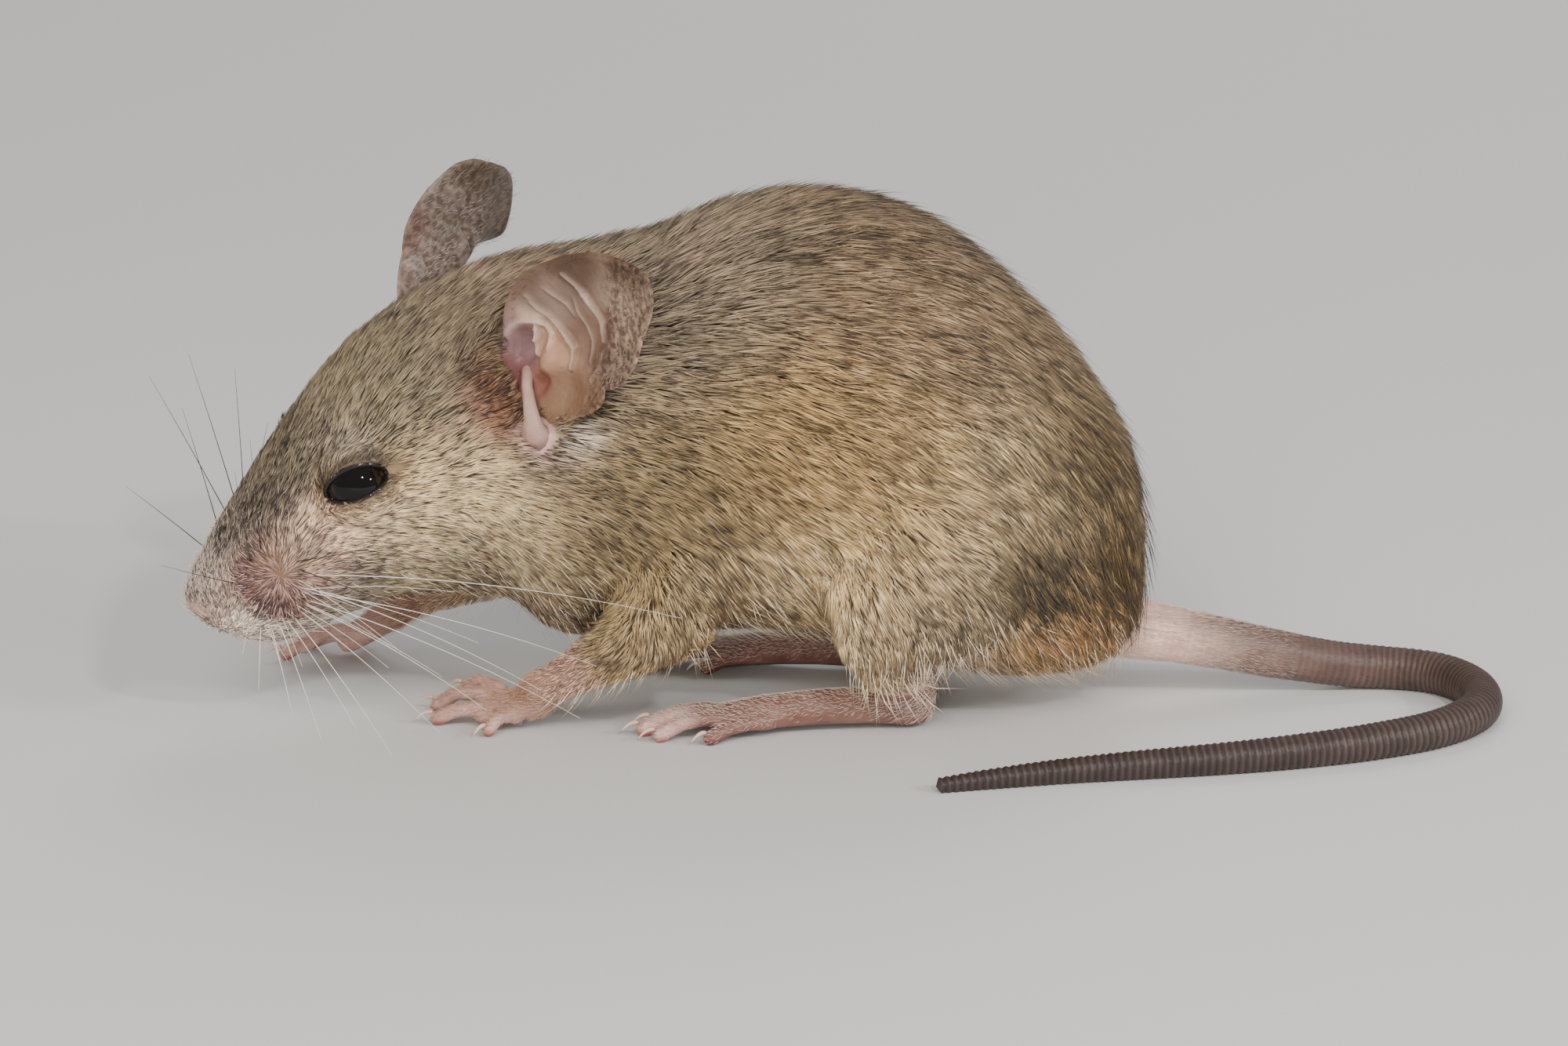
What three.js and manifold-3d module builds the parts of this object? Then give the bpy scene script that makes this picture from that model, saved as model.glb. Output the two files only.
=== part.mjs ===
// House mouse, life size, crouched on all fours, its head turned a little to its left.
// Millimetres, +Z up, the floor at Z = 0. The nose points to -X and the mouse's left side faces -Y.
import * as THREE from "three";
import { mergeVertices } from "three/addons/utils/BufferGeometryUtils.js";
import Module from "manifold-3d";

const wasm = await Module();
wasm.setup();

// Driving dimensions
const GAP = 0.25; // clearance between neighbouring parts of flesh
const CLAW_GAP = 0.1; // clearance between a claw and its toe
const EYE_GAP = 0.15; // clearance round an eyeball
const BODY_SIDES = 22;
const BODY_RINGS = 32;
const HEAD_PITCH = 33; // degrees the nose points down
const HEAD_YAW = 20; // degrees the nose points to the left
const HEAD_ROLL = 11; // degrees the crown leans to the left
const NOSE_TIP = new THREE.Vector3(-38.8, -7.4, 7.9);
const EYE_RADIUS = 1.75;
const EYE = { back: 12.0, side: 4.1, up: 2.4 }; // centre of an eyeball
const EYE_SIDES = 12;
const EYE_RINGS = 9;
const EAR = { length: 13.4, width: 10.2, cup: 1.5, thick: 0.6 };
const EAR_SIDES = 18;
const EAR_RINGS = 9;
const LEG_SIDES = 11;
const LEG_RINGS = 10;
const PAW_SIDES = 8;
const PAW_RINGS = 8;
const TOE_SIDES = 6;
const TOE_RINGS = 7;
const CLAW_SIDES = 4;
const CLAW_RINGS = 6;
const TAIL_SIDES = 8;
const TAIL_RINGS = 2; // for each point of the tail's line
const TAIL_ROOT_HEIGHT = 4.7; // of its middle, where it leaves the rump
const TAIL_LANDS = 5.2; // points from its root to where it lies on the floor
const TAIL_SETTLE = 0.06; // how far the floor flattens it
const CENTRE = new THREE.Vector3(0.45, -2.95, 0); // middle of the whole mouse, tail and ears included

const COLOURS = {
  coat: 0x9c8663,
  skin: 0xc9a298,
  ear: 0x8f776c,
  nose: 0xb07a78,
  tail: 0x6f5a54,
  claw: 0xdccfc0,
  eye: 0x0b0908,
};

const material = (name, roughness = 0.85) =>
  new THREE.MeshStandardMaterial({ color: COLOURS[name], roughness, metalness: 0 });
const radians = THREE.MathUtils.degToRad;
const vector = (x, y, z) => new THREE.Vector3(x, y, z);

// Solids

// A closed three.js geometry as a manifold solid, its faces turned outwards.
function solidOf(geometry) {
  geometry.deleteAttribute("normal");
  geometry.deleteAttribute("uv");
  const merged = mergeVertices(geometry, 1e-4);
  const corners = [...merged.index.array];
  const kept = [];
  for (let i = 0; i < corners.length; i += 3) {
    const [a, b, c] = corners.slice(i, i + 3);
    if (a !== b && b !== c && c !== a) kept.push(a, b, c);
  }
  const make = (triVerts) =>
    new wasm.Manifold(
      new wasm.Mesh({
        numProp: 3,
        vertProperties: merged.attributes.position.array,
        triVerts: new Uint32Array(triVerts),
      }),
    );
  const made = make(kept);
  return made.volume() > 0 ? made : make(kept.reverse());
}

// A sphere's grid wrapped on place(angle, along), which meets in a point at along = 0 and at 1.
function wrap(sides, rings, place) {
  const geometry = new THREE.SphereGeometry(1, sides, rings);
  const { position, uv } = geometry.attributes;
  for (let i = 0; i < position.count; i++) {
    const point = place(uv.getX(i) * 2 * Math.PI, uv.getY(i));
    position.setXYZ(i, point.x, point.y, point.z);
  }
  return solidOf(geometry);
}

// A smooth curve through rows of numbers, read at t from 0 to 1 as one row.
function through(rows) {
  return (t) => {
    const width = rows[0].length;
    const at = Math.min(Math.max(t, 0), 1) * (rows.length - 1);
    const first = Math.min(Math.floor(at), rows.length - 2);
    const share = at - first;
    const row = (i) => rows[Math.min(Math.max(i, 0), rows.length - 1)];
    return Array.from({ length: width }, (_, k) => {
      const [a, b, c, d] = [row(first - 1)[k], row(first)[k], row(first + 1)[k], row(first + 2)[k]];
      const bend = 2 * a - 5 * b + 4 * c - d + share * (3 * (b - c) + d - a);
      return b + 0.5 * share * (c - a + share * bend);
    });
  };
}

// A limb round a curve through its joints, each [x, y, z, half width, half height], with round ends.
function limb(joints, sides, rings, grow = 0) {
  const row = through(joints);
  const centre = (t) => vector(...row(t).slice(0, 3));
  const heading = (t) => centre(Math.min(t + 0.01, 1)).sub(centre(Math.max(t - 0.01, 0))).normalize();
  const CAP = 2 / rings; // share of the rings in each round end
  return wrap(sides, rings, (angle, along) => {
    const t = (along - CAP) / (1 - 2 * CAP);
    const near = Math.min(Math.max(t, 0), 1);
    const beyond = along < CAP ? 1 - along / CAP : along > 1 - CAP ? 1 - (1 - along) / CAP : 0;
    const [, , , wide, high] = row(near);
    const ahead = heading(near);
    const side = vector(0, 0, 1).cross(ahead);
    if (side.length() < 0.2) side.copy(vector(0, 1, 0).cross(ahead));
    side.normalize();
    const up = ahead.clone().cross(side);
    const open = Math.cos((beyond * Math.PI) / 2);
    const reach = Math.sin((beyond * Math.PI) / 2) * (Math.min(wide, high) + grow) * (t < 0 ? -1 : 1);
    return centre(near)
      .addScaledVector(ahead, reach)
      .addScaledVector(side, Math.cos(angle) * open * (wide + grow))
      .addScaledVector(up, Math.sin(angle) * open * (high + grow));
  });
}

// A box whose face lies at point and which reaches size away along direction.
function block(point, direction, size = 160) {
  const box = new THREE.BoxGeometry(size, size, size).translate(0, 0, size / 2);
  const turn = new THREE.Quaternion().setFromUnitVectors(vector(0, 0, 1), direction.clone().normalize());
  return solidOf(box.applyQuaternion(turn).translate(point.x, point.y, point.z));
}

// The two sides of a flat cut, the one ahead along direction first.
function part(solid, point, direction, gap = GAP) {
  const step = direction.clone().normalize().multiplyScalar(gap / 2);
  const back = direction.clone().negate();
  return [
    solid.intersect(block(point.clone().add(step), direction)),
    solid.intersect(block(point.clone().sub(step), back)),
  ];
}

const floor = block(vector(0, 0, 0), vector(0, 0, -1));
const join = (solids) => solids.reduce((whole, next) => whole.add(next));

// The largest body of a solid, without the slivers that a cut can leave.
function largest(solid) {
  return solid.decompose().sort((a, b) => b.volume() - a.volume())[0];
}

function mesh(name, solid, look) {
  const { numProp, vertProperties, triVerts } = largest(solid).getMesh();
  const points = new Float32Array((vertProperties.length / numProp) * 3);
  for (let i = 0; i < points.length / 3; i++) {
    points.set(vertProperties.subarray(i * numProp, i * numProp + 3), i * 3);
  }
  const geometry = new THREE.BufferGeometry();
  geometry.setAttribute("position", new THREE.BufferAttribute(points, 3));
  geometry.setIndex(new THREE.BufferAttribute(triVerts, 1));
  geometry.computeVertexNormals();
  const made = new THREE.Mesh(geometry, look);
  made.name = name;
  return made;
}

// Head frame: ahead to the nose, left and up, turned by yaw, pitch and roll

const turned = new THREE.Euler(0, 0, 0, "ZYX");
turned.set(radians(HEAD_ROLL), radians(-HEAD_PITCH), radians(HEAD_YAW));
const AHEAD = vector(-1, 0, 0).applyEuler(turned);
const LEFT = vector(0, -1, 0).applyEuler(turned);
const UP = vector(0, 0, 1).applyEuler(turned);

// A point of the head: back from the nose tip, to the left of the middle and above the axis.
const onHead = (back, left, up) =>
  NOSE_TIP.clone().addScaledVector(AHEAD, -back).addScaledVector(LEFT, left).addScaledVector(UP, up);

// Body: sections from the rump to the nose

// x, y, z of the section's centre; its yaw, pitch and roll; half its width and height; fullness
// (1 is an ellipse); pear shape (how much wider it is below).
const trunkSection = (x, top, bottom, width, fullness = 1.05, pear = 0.08) => {
  const middle = (top + bottom) / 2;
  return [x, 0, middle, 0, 0, 0, width, (top - bottom) / 2, fullness, pear];
};
const headSection = (back, top, bottom, width, fullness = 1.02, pear = 0.08) => {
  const { x, y, z } = onHead(back, 0, (top + bottom) / 2);
  return [x, y, z, HEAD_YAW, HEAD_PITCH, HEAD_ROLL, width, (top - bottom) / 2, fullness, pear];
};
const SECTIONS = {
  rumpEnd: trunkSection(18.4, 9.4, 9.2, 0),
  tailRoot: trunkSection(18.2, 12.2, 5.7, 3.0),
  seat: trunkSection(17.5, 15.8, 3.9, 5.5),
  rump: trunkSection(15.9, 19.2, 2.7, 7.9),
  croup: trunkSection(13.2, 23.3, 2.1, 9.9),
  hips: trunkSection(10, 26.6, 1.9, 11.4),
  loin: trunkSection(6.4, 29.6, 2.5, 12.0),
  back: trunkSection(2, 31.5, 3.7, 12.0),
  ribs: trunkSection(-2.6, 32.0, 4.7, 11.6),
  chest: trunkSection(-7.2, 31.2, 4.8, 10.8),
  withers: trunkSection(-11.8, 29.4, 4.2, 9.9),
  neckBase: [-15.6, -0.4, 16.6, 5, 6, 3, 9.3, 12.3, 1.03, 0.08],
  neck: [-19.9, -1.0, 16.1, 11, 12, 6, 8.8, 12.0, 1.02, 0.08],
  skull: [-23.2, -1.8, 15.9, 17, 22, 9, 7.9, 10.4, 1.02, 0.08],
  cheeks: [-25.6, -2.3, 15.2, 19, 28, 10, 7.0, 9.3, 1.02, 0.08],
  eyes: headSection(12.4, 6.5, -8.6, 5.8),
  brow: headSection(9.2, 5.3, -6.9, 5.0),
  whiskerPads: headSection(6.2, 3.9, -6.1, 4.5),
  muzzle: headSection(3.6, 2.7, -5.2, 3.6),
  lips: headSection(1.7, 1.7, -3.8, 2.6),
  nosePad: headSection(0.5, 0.9, -2.1, 1.5, 1, 0),
  noseTip: headSection(0, 0.1, -0.1, 0, 1, 0),
};
const section = through(Object.values(SECTIONS));

function body(grow = 0) {
  return wrap(BODY_SIDES, BODY_RINGS, (angle, along) => {
    const [x, y, z, yaw, pitch, roll, wide, high, full, pear] = section(along);
    const around = Math.cos(angle);
    const rise = Math.sin(angle);
    const bulge = (v) => Math.sign(v) * Math.abs(v) ** (1 / full);
    const ends = along === 0 || along === 1;
    const left = ends ? 0 : bulge(around) * (wide + grow) * (1 - pear * rise);
    const up = ends ? 0 : bulge(rise) * (high + grow);
    const lean = new THREE.Euler(radians(roll), radians(-pitch), radians(yaw), "ZYX");
    return vector(0, -left, up).applyEuler(lean).add(vector(x, y, z));
  });
}

// Legs: one or two limbs each, their joints as [x, y, z, half width, half height]
const FORELEGS = {
  left: [
    [
      [-8.4, -6.2, 12.2, 2.4, 3.6],
      [-9.0, -8.1, 8.9, 2.6, 3.7],
      [-11.6, -8.6, 6.6, 2.2, 2.6],
      [-15.0, -7.8, 4.5, 1.55, 1.7],
      [-18.2, -6.5, 2.3, 1.2, 1.15],
    ],
  ],
  right: [
    [
      [-9.4, 6.2, 12.2, 2.4, 3.6],
      [-11.2, 8.0, 9.2, 2.6, 3.4],
      [-15.2, 8.2, 7.4, 2.1, 2.3],
      [-21.2, 8.4, 5.6, 1.5, 1.65],
      [-26.8, 9.0, 3.6, 1.2, 1.15],
    ],
  ],
};
const hindLeg = (side) => [
  [
    [10.4, side * 6.4, 15.0, 3.2, 5.2],
    [6.8, side * 8.9, 11.6, 4.2, 6.4],
    [2.6, side * 9.8, 8.2, 3.2, 4.4],
  ],
  [
    [1.9, side * 9.5, 7.4, 2.6, 3.2],
    [3.0, side * 7.9, 4.6, 2.0, 2.3],
    [4.5, side * 6.0, 2.6, 1.4, 1.5],
  ],
];

// A foot's own frame: forward along its sole, to its outer side and up. Its rear end is lifted.
function footFrame({ x, y, heading, lift = 0 }) {
  const outer = y < 0 ? 1 : -1;
  const turn = radians(heading);
  const ahead = vector(-Math.cos(turn), outer * -Math.sin(turn), 0);
  const out = vector(-ahead.y, ahead.x, 0).multiplyScalar(outer);
  const LIFTED = 4; // how far forward the lift runs out
  return (forward, side, up) =>
    vector(x, y, up + lift * Math.max(0, 1 - forward / LIFTED))
      .addScaledVector(ahead, forward)
      .addScaledVector(out, side);
}
const joint = (point, wide, high = wide) => [point.x, point.y, point.z, wide, high];

// A toe with its claw. forward and side give its root and tip, high its knuckle and pad.
function toe(at, { forward: [root, tip], side: [from, to], high: [knuckle, pad], thick }) {
  const flesh = limb(
    [
      joint(at(root - 0.4, from, 0.9), thick * 1.15),
      joint(at(root + (tip - root) * 0.45, (from + to) / 2, knuckle - thick), thick * 0.95),
      joint(at(tip, to, pad), thick),
    ],
    TOE_SIDES,
    TOE_RINGS,
  );
  const length = Math.hypot(tip - root, to - from);
  const beyond = (reach, up) => {
    const share = (thick + CLAW_GAP + reach) / length;
    return at(tip + (tip - root) * share, to + (to - from) * share, up);
  };
  const claw = limb(
    [
      joint(beyond(0.22, pad + 0.16), 0.2, 0.26),
      joint(beyond(0.55, pad + 0.12), 0.17, 0.21),
      joint(beyond(0.95, Math.max(0.14, pad - 0.25)), 0.11, 0.12),
    ],
    CLAW_SIDES,
    CLAW_RINGS,
  );
  return { flesh, claw };
}

// A paw: its sole and toes joined, and its claws by the toes' names.
function paw(at, sole, toes) {
  const pieces = Object.fromEntries(Object.entries(toes).map(([name, sizes]) => [name, toe(at, sizes)]));
  const joints = sole.map(([forward, high, wide, half]) => joint(at(forward, 0, high), wide, half));
  const palm = limb(joints, PAW_SIDES, PAW_RINGS);
  return { flesh: join([palm, ...Object.values(pieces).map(({ flesh }) => flesh)]), pieces };
}
// Soles as [forward from the heel or wrist, height of the middle, half width, half height]
const FORE_SOLE = [
  [-0.3, 1.7, 1.05, 1.0],
  [1.4, 1.25, 1.35, 0.95],
  [3.0, 0.68, 1.45, 0.75],
];
const FORE_TOES = {
  inner: { forward: [2.2, 5.5], side: [-1.0, -2.4], high: [2.7, 1.2], thick: 0.5 },
  second: { forward: [2.9, 6.8], side: [-0.45, -1.2], high: [2.2, 0.42], thick: 0.52 },
  third: { forward: [2.8, 5.7], side: [0.4, 1.4], high: [1.6, 0.4], thick: 0.5 },
  outer: { forward: [1.2, 1.9], side: [0.9, 2.5], high: [1.5, 0.37], thick: 0.46 },
};
const HIND_SOLE = [
  [0, 1.2, 1.25, 1.3],
  [3.5, 1.4, 1.15, 1.15],
  [8, 1.3, 1.3, 1.1],
  [11.6, 0.86, 1.7, 0.95],
];
const HIND_TOES = {
  first: { forward: [9.8, 12.4], side: [-1.0, -2.1], high: [1.5, 0.4], thick: 0.5 },
  second: { forward: [11.6, 15.5], side: [-0.85, -1.5], high: [1.8, 0.42], thick: 0.52 },
  third: { forward: [12.0, 16.3], side: [-0.05, -0.1], high: [1.9, 0.43], thick: 0.54 },
  fourth: { forward: [11.6, 15.5], side: [0.75, 1.3], high: [1.8, 0.42], thick: 0.52 },
  fifth: { forward: [9.4, 12.6], side: [1.1, 2.3], high: [1.5, 0.4], thick: 0.5 },
};

// Ears: a dish with a thin rim on each side of the skull, each leaning back its own way.
// middle is from the nose tip (back, left, up); recurve is how far the tip bends back.
const EARS = {
  left: {
    middle: [26.7, 9.0, 4.0],
    axis: vector(0.42, -0.33, 0.85),
    face: vector(-0.61, -0.79, 0),
    recurve: 0,
  },
  right: {
    middle: [25.8, -7.6, 4.6],
    axis: vector(0.36, 0.24, 0.9),
    face: vector(-0.85, 0.5, 0.15),
    recurve: 1.9,
  },
};
function ear({ middle, axis, face, recurve }, side) {
  const centre = onHead(...middle);
  axis.normalize();
  face.addScaledVector(axis, -face.dot(axis)).normalize();
  const rearward = axis.clone().cross(face).multiplyScalar(side);
  return wrap(EAR_SIDES, EAR_RINGS, (angle, travel) => {
    const slope = travel * Math.PI;
    const reach = Math.sin(slope) ** 0.75; // 0 at the middle of either face, 1 at the rim
    const u = Math.cos(angle) * reach;
    const v = Math.sin(angle) * reach;
    const waist = v < 0 ? 1 - 0.25 * v * v : 1; // narrower towards its root
    const cup = EAR.cup * (u * u + 0.6 * v * v - 0.5) - recurve * Math.max(0, v) ** 2;
    const edge = 0.45 + 0.55 * Math.sqrt(Math.max(0, 1 - reach ** 6));
    return centre
      .clone()
      .addScaledVector(axis, (EAR.length / 2) * v)
      .addScaledVector(rearward, (EAR.width / 2) * waist * u)
      .addScaledVector(face, cup + (EAR.thick / 2) * edge * Math.cos(slope));
  });
}

// Tail: points on its middle line as [x, y, radius]
const TAIL_LINE = [
  [15.6, 0, 1.85],
  [18.4, 0.2, 1.75],
  [22.0, 0.6, 1.62],
  [25.8, 1.2, 1.5],
  [29.8, 1.9, 1.38],
  [33.6, 2.4, 1.3],
  [36.8, 1.2, 1.25],
  [38.6, -2.0, 1.2],
  [38.3, -6.0, 1.16],
  [35.6, -9.6, 1.1],
  [31.3, -12.2, 1.05],
  [26.5, -14.0, 0.98],
  [21.8, -15.2, 0.9],
  [17.2, -16.1, 0.82],
  [12.6, -17.0, 0.7],
  [8.6, -18.0, 0.56],
  [5.6, -18.8, 0.42],
];
const TAIL_LENGTHS = {
  root: [0, 3],
  middle: [3, 5.5],
  bend: [5.5, 7.3],
  turn: [7.3, 9.2],
  return: [9.2, 12.5],
  tip: [12.5, 16],
};

const tailRow = through(
  TAIL_LINE.map(([x, y, radius], i) => {
    const drop = Math.max(0, 1 - i / TAIL_LANDS);
    const lift = drop * drop * (3 - 2 * drop);
    return [x, y, radius - TAIL_SETTLE + (TAIL_ROOT_HEIGHT - radius) * lift, radius];
  }),
);
const tailPoint = (station) => vector(...tailRow(station / (TAIL_LINE.length - 1)).slice(0, 3));

function tailLength([from, to], isTip) {
  const rings = Math.round((to - from) * TAIL_RINGS);
  const geometry = new THREE.CylinderGeometry(1, 1, 1, TAIL_SIDES, rings);
  const { position } = geometry.attributes;
  const length = tailPoint(from).distanceTo(tailPoint(to));
  const inset = (GAP / 2 / length) * (to - from);
  const start = from + inset;
  const end = isTip ? to : to - inset;
  for (let i = 0; i < position.count; i++) {
    const station = start + (position.getY(i) + 0.5) * (end - start);
    const radius = tailRow(station / (TAIL_LINE.length - 1))[3];
    const ahead = tailPoint(station + 0.02).sub(tailPoint(station - 0.02)).normalize();
    const side = vector(0, 0, 1).cross(ahead).normalize();
    const up = ahead.clone().cross(side);
    const point = tailPoint(station)
      .addScaledVector(side, position.getX(i) * radius)
      .addScaledVector(up, position.getZ(i) * radius);
    position.setXYZ(i, point.x, point.y, point.z);
  }
  return solidOf(geometry).subtract(floor);
}

// Assembly

const mouse = new THREE.Group();
const add = (name, solid, look) => mouse.add(mesh(name, solid, look));
const coat = material("coat", 0.95);
const skin = material("skin", 0.7);
const clawLook = material("claw", 0.45);

const eyes = { left: onHead(EYE.back, EYE.side, EYE.up), right: onHead(EYE.back, -EYE.side, EYE.up) };
const ball = (centre, radius) =>
  solidOf(new THREE.SphereGeometry(radius, EYE_SIDES, EYE_RINGS).translate(...centre));

const legs = {
  foreleg_left: { limbs: FORELEGS.left, wrist: vector(-17.4, -6.9, 2.9), towards: vector(-0.8, 0.3, -0.5) },
  foreleg_right: { limbs: FORELEGS.right, wrist: vector(-26.2, 8.9, 3.9), towards: vector(-0.9, 0, -0.35) },
  hind_leg_left: { limbs: hindLeg(-1), wrist: vector(4.4, -6, 2.75), towards: vector(-0.1, 0, -1) },
  hind_leg_right: { limbs: hindLeg(1), wrist: vector(4.4, 6, 2.75), towards: vector(-0.1, 0, -1) },
};

let whole = body();
for (const centre of Object.values(eyes)) whole = whole.subtract(ball(centre, EYE_RADIUS + EYE_GAP));
const [headWhole, rest] = part(whole, onHead(20.2, 0, 0), vector(-0.93, -0.25, -0.2));
const [neck, trunk] = part(rest, vector(-13.8, 0, 17), vector(-1, -0.1, -0.08));
const [nose, face] = part(headWhole, onHead(1.15, 0, 0), AHEAD);
const jawLine = UP.clone().negate().addScaledVector(AHEAD, 0.12);
const jawBlock = (gap) =>
  block(onHead(1.5 - gap, 0, -2.5 + gap), jawLine).intersect(block(onHead(7.4 + gap, 0, 0), AHEAD));

add("nose", nose, material("nose", 0.5));
add("head", face.subtract(jawBlock(GAP)), coat);
add("jaw", face.intersect(jawBlock(0)), coat);
add("neck", neck, coat);
add("trunk", trunk, coat);
for (const [side, centre] of Object.entries(eyes)) {
  add(`eye_${side}`, ball(centre, EYE_RADIUS), material("eye", 0.05));
}
const bodySpace = body(GAP);
for (const [side, pose] of Object.entries(EARS)) {
  add(`ear_${side}`, ear(pose, side === "left" ? 1 : -1).subtract(bodySpace), material("ear", 0.6));
}

// Feet, each from where it meets its leg and the angle it turns outwards
const feet = {
  fore_left: { carrier: "foreleg_left", at: footFrame({ x: -18.4, y: -6.2, heading: -20 }) },
  fore_right: { carrier: "foreleg_right", at: footFrame({ x: -27.6, y: 9.0, heading: 5, lift: 1.3 }) },
  hind_left: { carrier: "hind_leg_left", at: footFrame({ x: 4.4, y: -5.6, heading: 8 }) },
  hind_right: { carrier: "hind_leg_right", at: footFrame({ x: 4.4, y: 5.6, heading: 8 }) },
};
for (const [name, { carrier, at }] of Object.entries(feet)) {
  const fore = name.startsWith("fore");
  const { flesh, pieces } = paw(at, fore ? FORE_SOLE : HIND_SOLE, fore ? FORE_TOES : HIND_TOES);
  const { limbs, wrist, towards } = legs[carrier];
  const leg = join([...limbs.map((joints) => limb(joints, LEG_SIDES, LEG_RINGS)), flesh]);
  const [foot, shank] = part(leg.subtract(bodySpace).subtract(floor), wrist, towards);
  add(carrier, shank, coat);
  add(`foot_${name}`, foot, skin);
  for (const [which, { claw }] of Object.entries(pieces)) {
    add(`claw_${name}_${which}`, claw, clawLook);
  }
}
for (const [name, span] of Object.entries(TAIL_LENGTHS)) {
  add(`tail_${name}`, tailLength(span, name === "tip").subtract(bodySpace), material("tail", 0.6));
}

// The middle of the mouse's length and width stands over the origin.
mouse.position.set(...CENTRE.negate());

export default mouse;
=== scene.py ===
# House mouse: the looks of one small adult, life size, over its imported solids.
# Row frame, metres: the nose points to -X, the animal's left side faces -Y, the floor is at Z = 0.
import math

import bmesh
import bpy
import numpy as np
from mathutils import Matrix, Vector, kdtree, noise
from mathutils.bvhtree import BVHTree


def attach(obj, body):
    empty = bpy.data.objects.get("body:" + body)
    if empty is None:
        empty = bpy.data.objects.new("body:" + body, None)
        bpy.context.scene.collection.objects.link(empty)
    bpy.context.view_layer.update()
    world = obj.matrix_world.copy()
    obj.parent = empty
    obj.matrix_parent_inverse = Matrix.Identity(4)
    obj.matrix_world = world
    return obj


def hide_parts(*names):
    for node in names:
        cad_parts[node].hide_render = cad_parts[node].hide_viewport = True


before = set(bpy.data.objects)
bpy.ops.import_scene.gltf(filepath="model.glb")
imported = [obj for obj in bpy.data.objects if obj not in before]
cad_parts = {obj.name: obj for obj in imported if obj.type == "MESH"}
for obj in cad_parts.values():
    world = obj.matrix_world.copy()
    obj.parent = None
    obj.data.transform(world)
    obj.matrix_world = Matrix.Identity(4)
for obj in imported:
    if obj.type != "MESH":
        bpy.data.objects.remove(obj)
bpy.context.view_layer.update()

# ---- Camera -------------------------------------------------------------------------------
# Level with a mouse on a table: low, square to its left side, with a long lens.
MM = 0.001
AIM = Vector((-3.85, 2.95, 11.1)) * MM
CAMERA_DISTANCE = 350 * MM
CAMERA_ELEVATION = math.radians(15)


def add_object(name, data):
    """An object of the scene that shows this data."""
    made = bpy.data.objects.new(name, data)
    bpy.context.scene.collection.objects.link(made)
    return made


camera_data = bpy.data.cameras.new("camera")
camera_data.lens = 132.6
camera_data.sensor_width = 36
camera_data.clip_start = 0.01
camera = add_object("camera", camera_data)
camera.location = AIM + CAMERA_DISTANCE * Vector((0, -math.cos(CAMERA_ELEVATION), math.sin(CAMERA_ELEVATION)))
camera.rotation_euler = (math.radians(90) - CAMERA_ELEVATION, 0, 0)
bpy.context.scene.camera = camera

# ---- Floor and light ----------------------------------------------------------------------
# A pale matt table top under soft studio light: one large lamp above the camera, a wide fill
# from the other side, and two small lamps that the wet eye mirrors as points.
def linear(code):
    """sRGB hex to linear RGBA."""
    channels = [int(code[i : i + 2], 16) / 255 for i in (1, 3, 5)]
    return [c / 12.92 if c <= 0.04045 else ((c + 0.055) / 1.055) ** 2.4 for c in channels] + [1.0]


def new_material(name):
    material = bpy.data.materials.new(name)
    material.use_nodes = True
    return material, material.node_tree.nodes["Principled BSDF"]


def node(material, kind, links=None, **settings):
    """Adds a node. A setting is a property or an input; a link is input name -> output socket."""
    made = material.node_tree.nodes.new(kind)
    for key, value in settings.items():
        if hasattr(made, key):
            setattr(made, key, value)
        else:
            made.inputs[key.replace("_", " ")].default_value = value
    for key, socket in (links or {}).items():
        material.node_tree.links.new(socket, made.inputs[key])
    return made


def wire(material, output, entry):
    material.node_tree.links.new(output, entry)


def set_inputs(where, **settings):
    """Sets a node's own numbers and colours; an underscore stands for a space."""
    for key, value in settings.items():
        where.inputs[key.replace("_", " ")].default_value = value


def add_light(name, kind, place, size, power, colour="#ffffff"):
    data = bpy.data.lights.new(name, kind)
    data.energy = power
    data.color = linear(colour)[:3]
    if kind == "AREA":
        data.shape = "DISK"
        data.size = size
    light = add_object(name, data)
    light.location = place
    light.visible_glossy = size < 0.1  # the wet eye mirrors the small lamps alone
    light.rotation_euler = (AIM - Vector(place)).to_track_quat("-Z", "Y").to_euler()


bpy.ops.mesh.primitive_plane_add(size=4)
floor = bpy.context.object
floor.name = "floor"
paper, shader = new_material("pale_matt_card")
set_inputs(shader, Base_Color=linear("#c9c8c6"), Roughness=0.7)
floor.data.materials.append(paper)

world = bpy.data.worlds.new("studio")
world.use_nodes = True
set_inputs(world.node_tree.nodes["Background"], Color=linear("#e4e4e6"), Strength=0.55)
bpy.context.scene.world = world
add_light("key", "AREA", (-0.14, -0.46, 0.34), 0.30, 2.4, "#fff6ea")
add_light("front", "AREA", (-0.05, -0.60, 0.14), 0.22, 2.0, "#fffaf4")
add_light("fill", "AREA", (0.42, -0.25, 0.25), 0.30, 0.8, "#f6f7ff")
add_light("rim", "AREA", (0.10, 0.40, 0.35), 0.30, 1.1, "#faf9f6")
add_light("spark_left", "AREA", (0.138, -0.287, 0.249), 0.024, 0.55)
add_light("spark_right", "AREA", (0.308, -0.165, 0.167), 0.020, 0.4)

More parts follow.
